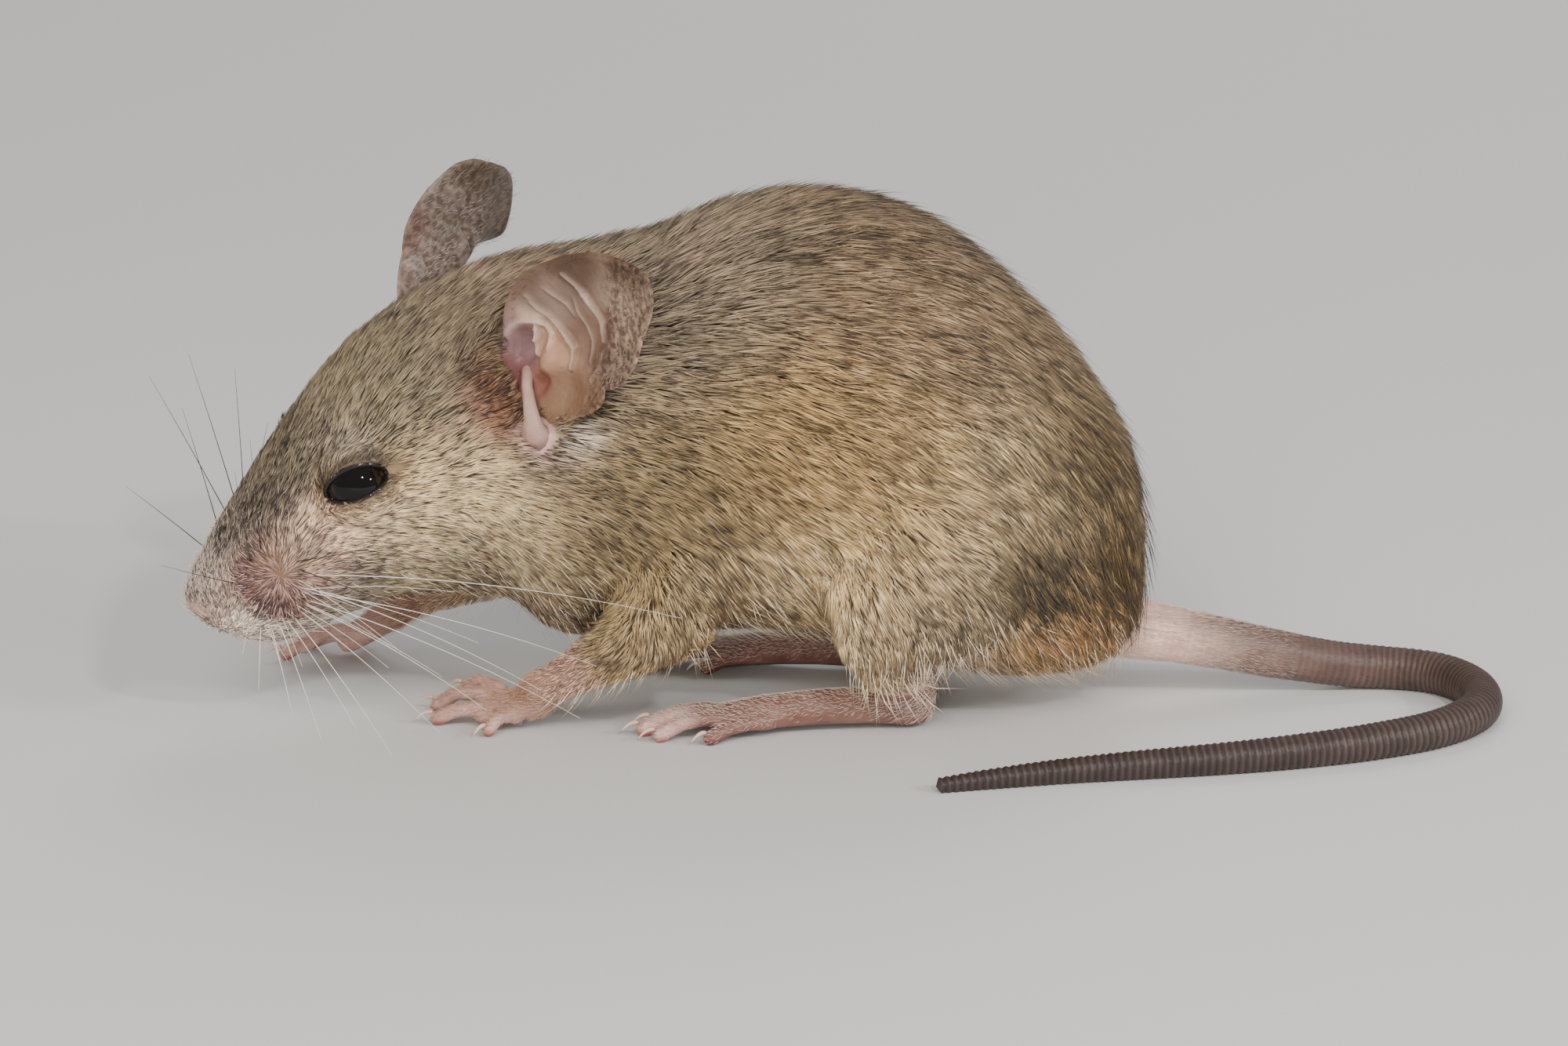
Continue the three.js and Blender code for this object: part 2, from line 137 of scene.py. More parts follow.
# ---- Skin ---------------------------------------------------------------------------------
# One skin from nose to rump, down every leg and over the toes. It is the solids' shape with
# their cuts closed, drawn in by the depth of the coat, and bare pink on nose, lips and feet.
HEAD_TURN = (
    Matrix.Rotation(math.radians(20), 3, "Z")
    @ Matrix.Rotation(math.radians(-33), 3, "Y")
    @ Matrix.Rotation(math.radians(11), 3, "X")
)
AHEAD = HEAD_TURN @ Vector((-1, 0, 0))
LEFT = HEAD_TURN @ Vector((0, -1, 0))
UP = HEAD_TURN @ Vector((0, 0, 1))
NOSE_TIP = Vector((-39.25, -4.45, 7.9)) * MM
EYE_RADIUS = 1.85 * MM
LID_THICKNESS = 0.18 * MM
GROWTH = 0.22 * MM  # closes the solids' cuts before the skin is drawn over them
SKIN_VOXEL = 0.18 * MM
WRISTS = {  # where the coat thins out on each leg
    "foreleg_left": (-17.9, -4.0, 2.9),
    "foreleg_right": (-26.6, 11.9, 3.9),
    "hind_leg_left": (3.95, -3.0, 2.75),
    "hind_leg_right": (3.95, 8.9, 2.75),
}
FLESH = [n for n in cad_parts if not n.startswith(("eye_", "claw_", "ear_", "tail_"))]
FEET = [index for index, n in enumerate(FLESH) if n.startswith("foot")]
LEGS = [FLESH.index(n) for n in WRISTS]
HEAD = [FLESH.index(n) for n in ("nose", "head", "jaw")]


def on_head(back, left, up):
    """A point of the head, in mm back from the nose tip, to the left and above its axis."""
    return np.array(NOSE_TIP + (LEFT * left + UP * up - AHEAD * back) * MM)


EYE_CENTRES = {"left": on_head(12.0, 4.1, 2.4), "right": on_head(12.0, -3.78, 2.05)}


def smooth_step(low, high, value):
    t = np.clip((value - low) / (high - low), 0, 1)
    return t * t * (3 - 2 * t)


def lengths(rows):
    return np.linalg.norm(rows, axis=1)


def unit(rows):
    """Rows at length one."""
    return rows / np.maximum(lengths(rows), 1e-12)[:, None]


def mm_from(points, place):
    """Distance in mm of each point from a place in row mm."""
    return lengths(points / MM - np.array(place))


def to_wrist(points):
    return np.min([mm_from(points, wrist) for wrist in WRISTS.values()], axis=0)


def numbers_of(things, key, width=3, kind=float):
    flat = np.empty(len(things) * width, kind)
    things.foreach_get(key, flat)
    return flat.reshape(-1, width)


def points_of(mesh):
    return numbers_of(mesh.vertices, "co")


def normals_of(mesh):
    return numbers_of(mesh.vertex_normals, "vector")


def edges_of(mesh):
    return numbers_of(mesh.edges, "vertices", 2, np.int64)


def select_only(*pieces):
    """Selects these pieces and no others, the first one active."""
    bpy.ops.object.select_all(action="DESELECT")
    for piece in pieces:
        piece.select_set(True)
    bpy.context.view_layer.objects.active = pieces[0]


def place_points(mesh, points):
    mesh.vertices.foreach_set("co", points.ravel())
    mesh.update()


def relaxed(values, edges, rounds, share=0.5):
    """Each row of values drawn towards the mean of its neighbours, a share of the way each round."""
    one, other = edges.T
    count = np.maximum(np.bincount(edges.ravel(), minlength=len(values)), 1)
    for _ in range(rounds):
        mean = np.empty_like(values)
        for k in range(values.shape[1]):
            column = values[:, k]
            total = np.bincount(one, column[other], minlength=len(values))
            total += np.bincount(other, column[one], minlength=len(values))
            mean[:, k] = total / count
        values = values + share * (mean - values)
    return values


def in_head(points):
    """Points as mm back from the nose tip, to the left and above the head's axis."""
    away = (points - np.array(NOSE_TIP)) / MM
    return np.stack([away @ -np.array(AHEAD), away @ np.array(LEFT), away @ np.array(UP)], axis=1)


def nearest_nodes(names):
    """A tree over the named solids' faces, and each face's index into names."""
    points, faces, owner = [], [], []
    for index, name in enumerate(names):
        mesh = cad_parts[name].data
        first = len(points)
        points += [v.co.copy() for v in mesh.vertices]
        faces += [[first + i for i in p.vertices] for p in mesh.polygons]
        owner += [index] * len(mesh.polygons)
    return BVHTree.FromPolygons(points, faces), np.array(owner)


def sorted_by_node(points, tree, owner):
    return np.array([owner[tree.find_nearest(p)[2]] for p in points])


bpy.ops.object.select_all(action="DESELECT")
copies = []
for name in FLESH:
    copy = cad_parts[name].copy()
    copy.data = copy.data.copy()
    copy.parent = None
    bpy.context.scene.collection.objects.link(copy)
    for key in list(copy.keys()):
        del copy[key]
    work = bmesh.new()
    work.from_mesh(copy.data)
    bmesh.ops.remove_doubles(work, verts=work.verts, dist=1e-6)
    bmesh.ops.recalc_face_normals(work, faces=work.faces)
    work.normal_update()
    limb = name.replace("foot_fore", "foreleg").replace("foot_hind", "hind_leg")
    wrist = Vector(WRISTS.get(limb, (0, 0, 0))) * MM
    for v in work.verts:
        near_wrist = 1 - smooth_step(1.6, 2.4, (v.co - wrist).length / MM)
        v.co += v.normal * GROWTH * (near_wrist if name.startswith("foot") else 1)
    work.to_mesh(copy.data)
    work.free()
    copies.append(copy)
for centre in EYE_CENTRES.values():
    bpy.ops.mesh.primitive_uv_sphere_add(
        segments=32, ring_count=20, radius=EYE_RADIUS + LID_THICKNESS + GROWTH, location=tuple(centre)
    )
    copies.append(bpy.context.object)
select_only(*copies)
skin = copies[0]
bpy.ops.object.join()
skin.name = "skin"
skin.data.materials.clear()
remesh = skin.modifiers.new("closed", "REMESH")
remesh.mode = "VOXEL"
remesh.voxel_size = SKIN_VOXEL
bpy.ops.object.modifier_apply(modifier=remesh.name)

flesh_tree, flesh_owner = nearest_nodes(FLESH)
points = points_of(skin.data)
edges = edges_of(skin.data)
owner = sorted_by_node(points, flesh_tree, flesh_owner)
is_foot = np.isin(owner, FEET)
is_leg = np.isin(owner, LEGS)
place = in_head(points)

# The facets and creases of the solids go: much on the body, little on face and feet.
much = points.copy()
for _ in range(14):
    much = relaxed(relaxed(much, edges, 2, 0.6), edges, 1, -0.45)
little = relaxed(relaxed(relaxed(points, edges, 3, 0.5), edges, 2, -0.52), edges, 2, 0.4)
muchness = np.where(np.isin(owner, HEAD), smooth_step(6, 16, place[:, 0]), 1.0)[:, None] * ~is_foot[:, None]
muchness = relaxed(muchness, edges, 8)
points = little + (much - little) * muchness
place_points(skin.data, points)
normals = normals_of(skin.data)


def coat_depth(points, owner):
    """How far the hair tips stand off the skin, in mm."""
    back = in_head(points)[:, 0]
    x = points[:, 0] / MM
    head = ([0, 1.5, 4, 8, 13, 20, 27, 33], [0.03, 0.06, 0.16, 0.34, 0.5, 0.75, 1.0, 1.15])
    depth = np.where(x > 10, np.interp(x, [10, 15, 18.5], [1.15, 1.0, 0.55]), np.interp(back, *head))
    for name, wrist in WRISTS.items():
        leg = np.interp(mm_from(points, wrist), [0, 3, 7, 12], [0.06, 0.22, 0.7, 1.1])
        depth = np.where(owner == FLESH.index(name), leg, depth)
    return np.where(np.isin(owner, FEET), 0.0, depth)


depth = relaxed(coat_depth(points, owner)[:, None], edges, 14)[:, 0] * MM
near_wrist = 1 - smooth_step(1.6, 2.4, to_wrist(points))
growth = relaxed((GROWTH * np.where(is_foot, near_wrist, 1.0))[:, None], edges, 4)[:, 0]
for centre in EYE_CENTRES.values():
    far = lengths(points - centre)
    depth *= smooth_step(2.26 * MM, 2.6 * MM, far)
points = points - normals * (depth + growth)[:, None]
place_points(skin.data, points)

# Lids part over each eye in an almond, its front corner low. The skin is dented behind the
# eyeball inside the almond and left as a dome around it.
ALMOND_LENGTH = 74  # degrees from its middle to a corner, over the eyeball
ALMOND_HEIGHT = 26.5
MARGIN = 0.35 * MM  # bare margin of the lids, beyond the almond
BEHIND_BALL = 1.35 * MM  # from the eye's middle to the skin inside the almond
OVER_BALL = 2.03 * MM  # and to the lids round it


def eye_frame(side):
    """Along the almond to its rear corner, up across it, and straight out of the eye."""
    sign = 1 if side == "left" else -1
    out = (LEFT * 0.82 * sign + AHEAD * 0.1 + UP * 0.54).normalized()
    rearward = LEFT * 0.27 * sign - AHEAD * 0.95 - UP * 0.16
    rearward = (rearward - out * rearward.dot(out)).normalized()
    across = out.cross(rearward)
    return rearward, across if across.dot(UP) > 0 else -across, out


def almond(count):
    """Angle round the eye and polar angle from its middle, for points of the almond's edge."""
    turn = np.linspace(-math.pi, math.pi, count, endpoint=False)
    along = math.radians(ALMOND_LENGTH) * np.cos(turn)
    across = math.radians(ALMOND_HEIGHT) * np.sign(np.sin(turn)) * np.abs(np.sin(turn)) ** 1.35
    return np.arctan2(across, along), np.hypot(along, across)


def lid_distance(points, side):
    """Distance from the almond's edge, in metres; negative inside it."""
    rearward, across, out = (np.array(v) for v in eye_frame(side))
    away = points - EYE_CENTRES[side]
    around = np.arctan2(away @ across, away @ rearward)
    from_middle = np.arccos(np.clip(unit(away) @ out, -1, 1))
    turn, edge = almond(180)
    order = np.argsort(turn)
    inside = from_middle < np.interp(around, turn[order], edge[order], period=2 * math.pi)
    ring = np.outer(np.cos(edge), out)
    ring += np.sin(edge)[:, None] * (np.outer(np.cos(turn), rearward) + np.outer(np.sin(turn), across))
    nearest = np.full(len(points), 9.0)
    close = np.flatnonzero(lengths(away) < 6 * MM)
    far = lengths(away[close])[:, None]
    on_ball = away[close] / far * np.maximum(far, EYE_RADIUS)
    for spot in ring * (EYE_RADIUS + 0.1 * MM):
        nearest[close] = np.minimum(nearest[close], lengths(on_ball - spot))
    return np.where(inside, -nearest, nearest)


for side, centre in EYE_CENTRES.items():
    away = points - centre
    far = lengths(away)
    dented = (far < 2.5 * MM) & (lid_distance(points, side) < MARGIN)
    points[dented] = centre + away[dented] / far[dented, None] * BEHIND_BALL
    dome = (far < OVER_BALL) & ~dented & (lid_distance(points, side) < 1.6 * MM)
    points[dome] = centre + away[dome] / far[dome, None] * OVER_BALL

# Muzzle: nostrils, the groove under the nose, the whisker pads, the mouth's line and the chin.
# Each is back, left and up from the nose tip, its reach and its depth in mm (minus goes in).
MUZZLE = (
    ((0.75, 0.85, -0.2), 0.42, -0.32),
    ((1.25, 1.35, -0.45), 0.36, -0.22),
    ((0.9, 0.0, -1.3), 0.35, -0.2),
    ((1.9, 0.0, -2.2), 0.4, -0.22),
    ((0.3, 0.0, 0.3), 0.9, 0.12),
    ((4.6, 3.2, -0.8), 2.0, 0.35),
    ((6.6, 3.9, 0.0), 1.6, 0.18),
    ((3.2, 1.6, -4.6), 1.5, 0.2),
)
MOUTH = ((1.7, 0.6, -2.4), (2.6, 1.9, -3.1), (3.8, 2.9, -3.4), (5.2, 3.5, -3.6), (6.4, 3.8, -3.9))


def mouth_spots(shares):
    """Places on the head along both sides of the mouth's line, at shares of each of its parts."""
    for start, end in zip(MOUTH[:-1], MOUTH[1:]):
        for share in shares:
            back, left, up = np.array(start) * (1 - share) + np.array(end) * share
            yield from (np.array([back, left, up]), np.array([back, -left, up]))


normals = normals_of(skin.data)
place = in_head(points)
push = np.zeros(len(points))
for (back, left, up), reach, height in MUZZLE:
    for sign in (1, -1) if left else (1,):
        far = lengths(place - np.array([back, left * sign, up]))
        push += height * np.exp(-((far / reach) ** 2))
for spot in mouth_spots((0, 0.25, 0.5, 0.75)):
    push -= 0.07 * np.exp(-((lengths(place - spot) / 0.3) ** 2))
push = np.where(place[:, 0] < 9, push, 0) * np.where(is_foot | is_leg, 0, 1)
points = points + normals * (push * MM)[:, None]
place_points(skin.data, points)

# ---- Ears ---------------------------------------------------------------------------------
# Thin cupped leaves of skin and gristle. Inside, curved ridges run round the pink hollow that
# leads to the ear's opening, and a pale stalk joins the leaf to the cheek below it.
EAR_LENGTH = 13.4 * MM
EAR_WIDTH = 10.2 * MM
EAR_THICKNESS = 0.34 * MM
EARS = {
    "left": {
        "middle": (26.7, 9.0, 4.0), "axis": (0.42, -0.33, 0.85), "face": (-0.61, -0.79, 0), "recurve": 0.0,
    },
    "right": {
        "middle": (25.8, -7.6, 4.6), "axis": (0.36, 0.24, 0.9), "face": (-0.85, 0.5, 0.15), "recurve": 1.9,
    },
}
FOLDS = (  # (u, v) points along each raised fold of the inner face, height and half width in mm
    (
        (
            (-0.86, -0.38), (-0.82, -0.28), (-0.73, -0.18), (-0.60, -0.10), (-0.48, -0.07), (-0.37, -0.11),
            (-0.3, -0.2),
        ),
        0.42, 0.22,
    ),
    (
        (
            (-0.84, 0.06), (-0.66, 0.01), (-0.52, 0.02), (-0.35, -0.01), (-0.20, -0.03), (-0.06, -0.09),
            (0.0, -0.18), (0.03, -0.28),
        ),
        0.4, 0.13,
    ),
    (((-0.72, 0.23), (-0.56, 0.22), (-0.38, 0.23), (-0.25, 0.18)), 0.24, 0.12),
    (((-0.58, 0.46), (-0.38, 0.45), (-0.24, 0.43), (-0.07, 0.37), (0.11, 0.31), (0.24, 0.18)), 0.42, 0.16),
    (((-0.36, 0.33), (-0.20, 0.23), (-0.06, 0.16), (0.09, 0.08), (0.20, -0.08)), 0.22, 0.12),
    (((0.30, 0.10), (0.36, -0.05), (0.34, -0.2)), 0.14, 0.14),
    (((-0.58, -0.15), (-0.49, -0.24), (-0.41, -0.36)), 0.7, 0.15),
)
PITS = (  # middle (u, v), half width and half length, and depth in mm; minus swells out
    (-0.66, -0.42, 0.2, 0.19, 1.3), (-0.62, -0.70, 0.2, 0.08, 0.7), (-0.22, -0.30, 0.15, 0.18, -0.75),
    (-0.20, -0.58, 0.08, 0.12, 0.4), (0.16, -0.48, 0.26, 0.2, 0.45), (0.05, 0.12, 0.2, 0.25, 0.35),
)
EAR_EDGE = {  # angle in degrees from the rear and how far each leaf reaches there
    "left": (
        (-180, 1.0), (-172, 1.0), (-155, 0.96), (-140, 1.0), (-124, 0.9), (-110, 0.86), (-98, 0.86),
        (-86, 0.82), (-75, 0.84), (-62, 0.8), (-50, 0.74), (-36, 0.735), (-24, 0.74), (-16.5, 0.7),
        (-13, 0.61), (-6, 0.69), (6, 0.805), (23, 0.935), (38, 1.0), (48, 1.17), (56, 1.26), (64, 1.25),
        (74, 1.15), (84, 1.05), (94, 0.98), (109, 0.935), (127, 0.9), (147, 0.925), (158, 0.97), (166, 1.0),
        (180, 1.01),
    ),
    "right": (
        (-180, 0.93), (-167, 0.88), (-140, 0.9), (-90, 0.88), (-60, 0.85), (-30, 0.85), (-14, 0.76),
        (5, 0.86), (20, 0.93), (35, 0.94), (56, 0.91), (81, 0.87), (100, 0.88), (112, 0.92), (124, 1.0),
        (135, 1.03), (148, 0.99), (168, 0.95), (180, 0.93),
    ),
}


def ear_edge(side, turn):
    return np.interp(np.degrees(turn), *np.array(EAR_EDGE[side]).T)


def ear_frame(side):
    """Middle of the leaf, its axis to the tip, the way to its rear edge, and out of its hollow face."""
    pose = EARS[side]
    axis = Vector(pose["axis"]).normalized()
    face = Vector(pose["face"])
    face = (face - axis * face.dot(axis)).normalized()
    rearward = axis.cross(face) * (1 if side == "left" else -1)
    return (np.array(v) for v in (on_head(*pose["middle"]), axis, rearward, face))


def ear_cup(side, u, v):
    """How far in mm the leaf's edges stand forward of its middle; the right one curls back behind."""
    curl = EARS[side]["recurve"]
    back = curl * np.maximum(0, v) ** 2
    back += 1.3 * curl * np.maximum(0, u - 0.25) ** 2 * smooth_step(-0.15, 0.3, v)
    rolled = 2.6 * curl * np.maximum(0, u - 0.08) ** 2 * (1 - smooth_step(-0.1, 0.38, v))
    return 1.5 * (u * u + 0.6 * v * v - 0.5) - back + rolled


def ear_rim(side, u, v):
    """How far out the head's skin comes up round the leaf's hollow."""
    turn = np.arctan2(v, u)
    skin_edge = ([-180, -150, -120, -80, -50, 150, 180], [0.98, 1.06, 1.04, 0.92, 0.94, 0.94, 0.98])
    return np.interp(np.degrees(turn), *skin_edge) * ear_edge(side, turn)


def leaf(side, u, v, off):
    """Points of the leaf at u to its rear edge and v to its tip, off its middle layer by off metres."""
    middle, axis, rearward, face = ear_frame(side)
    waist = np.where(v < 0, 1 - 0.25 * v * v, 1)
    cup = ear_cup(side, u, v)
    return (
        middle
        + np.outer(v, axis) * EAR_LENGTH / 2
        + np.outer(waist * u, rearward) * EAR_WIDTH / 2
        + np.outer(cup * MM + off, face)
    )


def ear_folds(u, v):
    """Height in mm of the raised folds alone."""
    height = np.zeros_like(u)
    half_size = np.array([EAR_WIDTH, EAR_LENGTH]) / 2 / MM
    for places, high, half in FOLDS:
        line = np.array(places) * half_size
        nearest, share = np.full(len(u), 99.0), np.zeros(len(u))
        for k in range(len(line) - 1):
            along = line[k + 1] - line[k]
            away = np.stack([u, v], axis=1) * half_size - line[k]
            t = np.clip(away @ along / (along @ along), 0, 1)
            far = lengths(away - t[:, None] * along)
            share = np.where(far < nearest, (k + t) / (len(line) - 1), share)
            nearest = np.minimum(nearest, far)
        high = high * (1 + 0.15 * np.sin(share * 14 + half * 90))
        ends = np.sqrt(np.clip(np.sin(math.pi * (0.08 + 0.84 * share)), 0, 1))
        ridge = 1.3 * np.exp(-((nearest / half) ** 2)) - 0.3 * np.exp(-((nearest / half / 2.3) ** 2))
        height += high * ends * ridge
    return height


def ear_relief(u, v):
    """Height of the inner face's folds and hollows over the plain leaf, in mm."""
    u, v = np.atleast_1d(u), np.atleast_1d(v)
    height = ear_folds(u, v)
    for at_u, at_v, wide, long, deep in PITS:
        height -= deep * np.exp(-(((u - at_u) / wide) ** 2 + ((v - at_v) / long) ** 2) ** 1.5)
    crust = 0.06 * np.sin(u * 23 + 2 * np.sin(v * 17)) * np.sin(v * 29 + 2 * np.sin(u * 13))
    return height + crust * smooth_step(0.15, 0.5, u + 0.5 * v)


def band(rings, steps, first=0):
    """Faces that join rings of so many points, each ring to the next."""
    faces = []
    for ring in range(rings - 1):
        for k in range(steps):
            a, b = (first + ring * steps + i for i in (k, (k + 1) % steps))
            faces.append((a, b, b + steps, a + steps))
    return faces


def shifted(faces, first):
    """The same faces over points that start at first."""
    return [tuple(first + i for i in face) for face in faces]


def tube(line, radii, sides):
    """Points and faces of a closed round tube along a line, its ends drawn in to points."""
    way = unit(np.gradient(line, axis=0))
    side = np.cross(way[0], [0.0, 0.0, 1.0])
    side = side if np.linalg.norm(side) > 0.1 else np.cross(way[0], [0.0, 1.0, 0.0])
    turn = np.linspace(0, 2 * math.pi, sides, endpoint=False)
    rings = []
    for k in range(len(line)):
        side = side - way[k] * (side @ way[k])
        side = side / np.linalg.norm(side)
        other = np.cross(way[k], side)
        rings.append(line[k] + radii[k] * (np.outer(np.cos(turn), side) + np.outer(np.sin(turn), other)))
    start = line[0] - way[0] * radii[0] * 0.5
    end = line[-1] + way[-1] * radii[-1] * 0.5
    points = np.concatenate(rings + [[start, end]])
    faces = band(len(line), sides)
    last = len(line) * sides
    for k in range(sides):
        n = (k + 1) % sides
        faces += [(last, n, k), (last + 1, last - sides + k, last - sides + n)]
    return points, faces


STALK = (  # row mm on the left side, and radius
    (-18.7, -2.4, 22.4, 0.3), (-19.0, -3.6, 22.1, 0.36), (-18.98, -4.6, 21.4, 0.34), (-18.8, -5.4, 20.5, 0.4),
    (-18.65, -5.9, 19.8, 0.5), (-18.6, -5.9, 19.1, 0.75), (-18.5, -5.1, 18.5, 1.0),
)
EAR_MARKS_AND_SHADE = (  # place (u, v), reach in mm and colour of the inner face
    ("opening", (-0.66, -0.40), 1.0, "#86696c"),
    ("fold under it", (-0.64, -0.68), 0.8, "#6c3f3d"),
    ("lip over it", (-0.66, -0.13), 0.45, "#c4ac98"),
    ("swelling", (-0.24, -0.28), 0.9, "#b48e73"),
    ("front", (-0.62, 0.2), 1.0, "#847065"),
    ("front edge", (-0.95, 0.2), 0.9, "#644e40"),
    ("rear of the hollow", (0.12, 0.08), 1.1, "#775c4e"),
    ("lower lobe", (0.25, -0.45), 1.5, "#856a54"),
    # Painted shade in the groove beside the stalk.
    ("beside the stalk", (-0.22, -0.56), 0.5, "#8a5a50"),
    ("upper edge", (-0.6, 0.6), 1.3, "#523d2e"),
    ("top", (0.2, 1.0), 1.2, "#66503f"),
    ("outer rear", (0.55, 0.72), 1.8, "#b09a87"),
    ("rear rim", (0.62, 0.16), 1.0, "#9a8677"),
    ("stalk", (3, 3), 1.0, "#b5968a"),
)
EAR_BACK_MARKS = (  # the same on the outer face
    ("foot", (-0.35, -0.2), 1.6, "#95877d"),
    ("front edge", (-0.9, 0.05), 0.9, "#7a635a"),
    ("middle", (-0.4, 0.3), 1.6, "#80746b"),
    ("top", (-0.3, 0.8), 1.5, "#64574b"),
    ("curled lobe", (0.6, 0.5), 2.0, "#69594b"),
)


def rgb(code):
    """An sRGB code as three linear numbers."""
    return np.array(linear(code)[:3])


def ear_colours(marks, u, v):
    """The ear's linear colour at u, v from its marked places."""
    total, weight = np.zeros((len(u), 3)), np.full(len(u), 1e-9)
    for name, (at_u, at_v), reach, colour in marks:
        far = np.hypot((u - at_u) * EAR_WIDTH / 2, (v - at_v) * EAR_LENGTH / 2) / MM
        share = (1 / (1 + (far / reach) ** 5) + 0.02 / (1 + (far / reach) ** 2)) / reach
        total += share[:, None] * rgb(colour)
        weight += share
    return total / weight[:, None]


def in_leaf(points, side):
    """Points in the leaf's own u and v, and metres off its middle layer."""
    middle, axis, rearward, face = ear_frame(side)
    away = points - middle
    v = away @ axis / (EAR_LENGTH / 2)
    u = away @ rearward / (EAR_WIDTH / 2) / np.where(v < 0, 1 - 0.25 * np.minimum(v * v, 2), 1)
    return u, v, away @ face - ear_cup(side, u, v) * MM


def stalk_line(side):
    """The stalk's points: on the right it runs from the leaf to the mirrored place on the cheek."""
    line = np.array(STALK)[:, :3] * MM
    if side == "left":
        return line
    share = np.linspace(0, 1, len(line))[:, None] ** 0.7
    cheek = np.array([on_head(back, -left, up) for back, left, up in in_head(line)])
    return leaf(side, *in_leaf(line, "left")) * (1 - share) + cheek * share


def new_piece(name, points, faces):
    mesh = bpy.data.meshes.new(name)
    mesh.from_pydata(points.tolist(), [], faces)
    return add_object(name, mesh)


def give_numbers(mesh, name, values):
    attribute = mesh.attributes.new(name, "FLOAT", "POINT")
    attribute.data.foreach_set("value", np.asarray(values, np.float32))


def give_colours(mesh, name, values):
    attribute = mesh.color_attributes.new(name, "FLOAT_COLOR", "POINT")
    rgba = np.concatenate([values, np.ones((len(values), 1))], axis=1)
    attribute.data.foreach_set("color", rgba.astype(np.float32).ravel())


def face_outward(*pieces):
    select_only(*pieces)
    bpy.ops.object.mode_set(mode="EDIT")
    bpy.ops.mesh.select_all(action="SELECT")
    bpy.ops.mesh.normals_make_consistent(inside=False)
    bpy.ops.object.mode_set(mode="OBJECT")


def build_ear(side):
    rings, steps = 58, 168
    reach = np.repeat(np.linspace(0, 1, rings + 1)[1:], steps)
    turn = np.tile(np.linspace(-math.pi, math.pi, steps, endpoint=False), rings)
    edge = ear_edge(side, turn)
    u = np.cos(turn) * reach * edge
    v = np.sin(turn) * reach * edge
    round_off = np.sqrt(np.clip(1 - reach**8, 0, 1))
    relief = ear_relief(u, v) * (1 - reach**6) * MM
    rolled = 1 + 0.7 * np.exp(-(((reach - 0.95) / 0.05) ** 2))
    half = EAR_THICKNESS / 2 * (0.75 + 0.25 * (1 - reach)) * rolled * round_off
    inner = leaf(side, u, v, half + relief)
    outer = leaf(side, u, v, -half + np.minimum(relief, 0))
    hub = np.zeros(1)
    hub_relief = ear_relief(hub, hub) * MM
    points = np.concatenate([
        leaf(side, hub, hub, EAR_THICKNESS / 2 + hub_relief), inner,
        leaf(side, hub, hub, -EAR_THICKNESS / 2 + np.minimum(hub_relief, 0)), outer,
    ])
    sheet = 1 + rings * steps
    faces = band(rings, steps, 1) + band(rings, steps, sheet + 1)
    for k in range(1, steps + 1):
        n = k % steps + 1
        a, b = sheet - steps + k - 1, sheet - steps + n - 1
        faces += [(0, n, k), (sheet, sheet + k, sheet + n), (a, b, sheet + b, sheet + a)]
    stalk_points, stalk_faces = tube(stalk_line(side), np.array(STALK)[:, 3] * MM, 14)
    faces += shifted(stalk_faces, len(points))
    points = np.concatenate([points, stalk_points])
    ear = new_piece(f"ear_{side}_leaf", points, faces)
    on_stalk = np.full(len(stalk_points), 3.0)
    all_u = np.concatenate([hub, u, hub, u, on_stalk])
    all_v = np.concatenate([hub, v, hub, v, on_stalk])
    rows = np.arange(len(points))
    on_face = rows < sheet
    inside = on_face | (rows >= 2 * sheet)
    inner_colours, outer_colours = (ear_colours(marks, all_u, all_v) for marks in (EAR_MARKS_AND_SHADE, EAR_BACK_MARKS))
    give_colours(ear.data, "marking_and_shade", np.where(inside[:, None], inner_colours, outer_colours))
    give_numbers(ear.data, "crest", np.where(on_face, np.clip(ear_folds(all_u, all_v) * 2.4, 0, 1), 0))
    speckled = np.where(inside, smooth_step(0.1, 0.5, all_u + 0.5 * all_v), 0.8)
    give_numbers(ear.data, "speckled", np.where(rows >= 2 * sheet, 0, speckled))
    face_outward(ear)
    bpy.ops.object.shade_smooth()
    return ear


ears = {side: build_ear(side) for side in EARS}

# The head's skin sinks behind the leaf, so that the hollow lies open, with a slope round it.
for side in EARS:
    u, v, off = in_leaf(points, side)
    reach = np.hypot(u, v) / ear_edge(side, np.arctan2(v, u))
    floor_of_hollow = np.minimum(ear_relief(u, v), 0) * MM - 0.3 * MM
    turn = np.degrees(np.arctan2(v, u))
    slope = np.interp(turn, [-180, -80, -50, 110, 150, 180], [0.14, 0.14, 0.28, 0.28, 0.14, 0.14])
    rim = ear_rim(side, u, v)
    sink = np.maximum(off - floor_of_hollow, 0) * (1 - smooth_step(rim, rim + slope, np.hypot(u, v)))
    sink = np.where((reach < 1.3) & (off < 7 * MM) & ~is_leg, sink, 0)
    middle, axis, rearward, face = ear_frame(side)
    points = points - np.outer(sink, face)
place_points(skin.data, points)
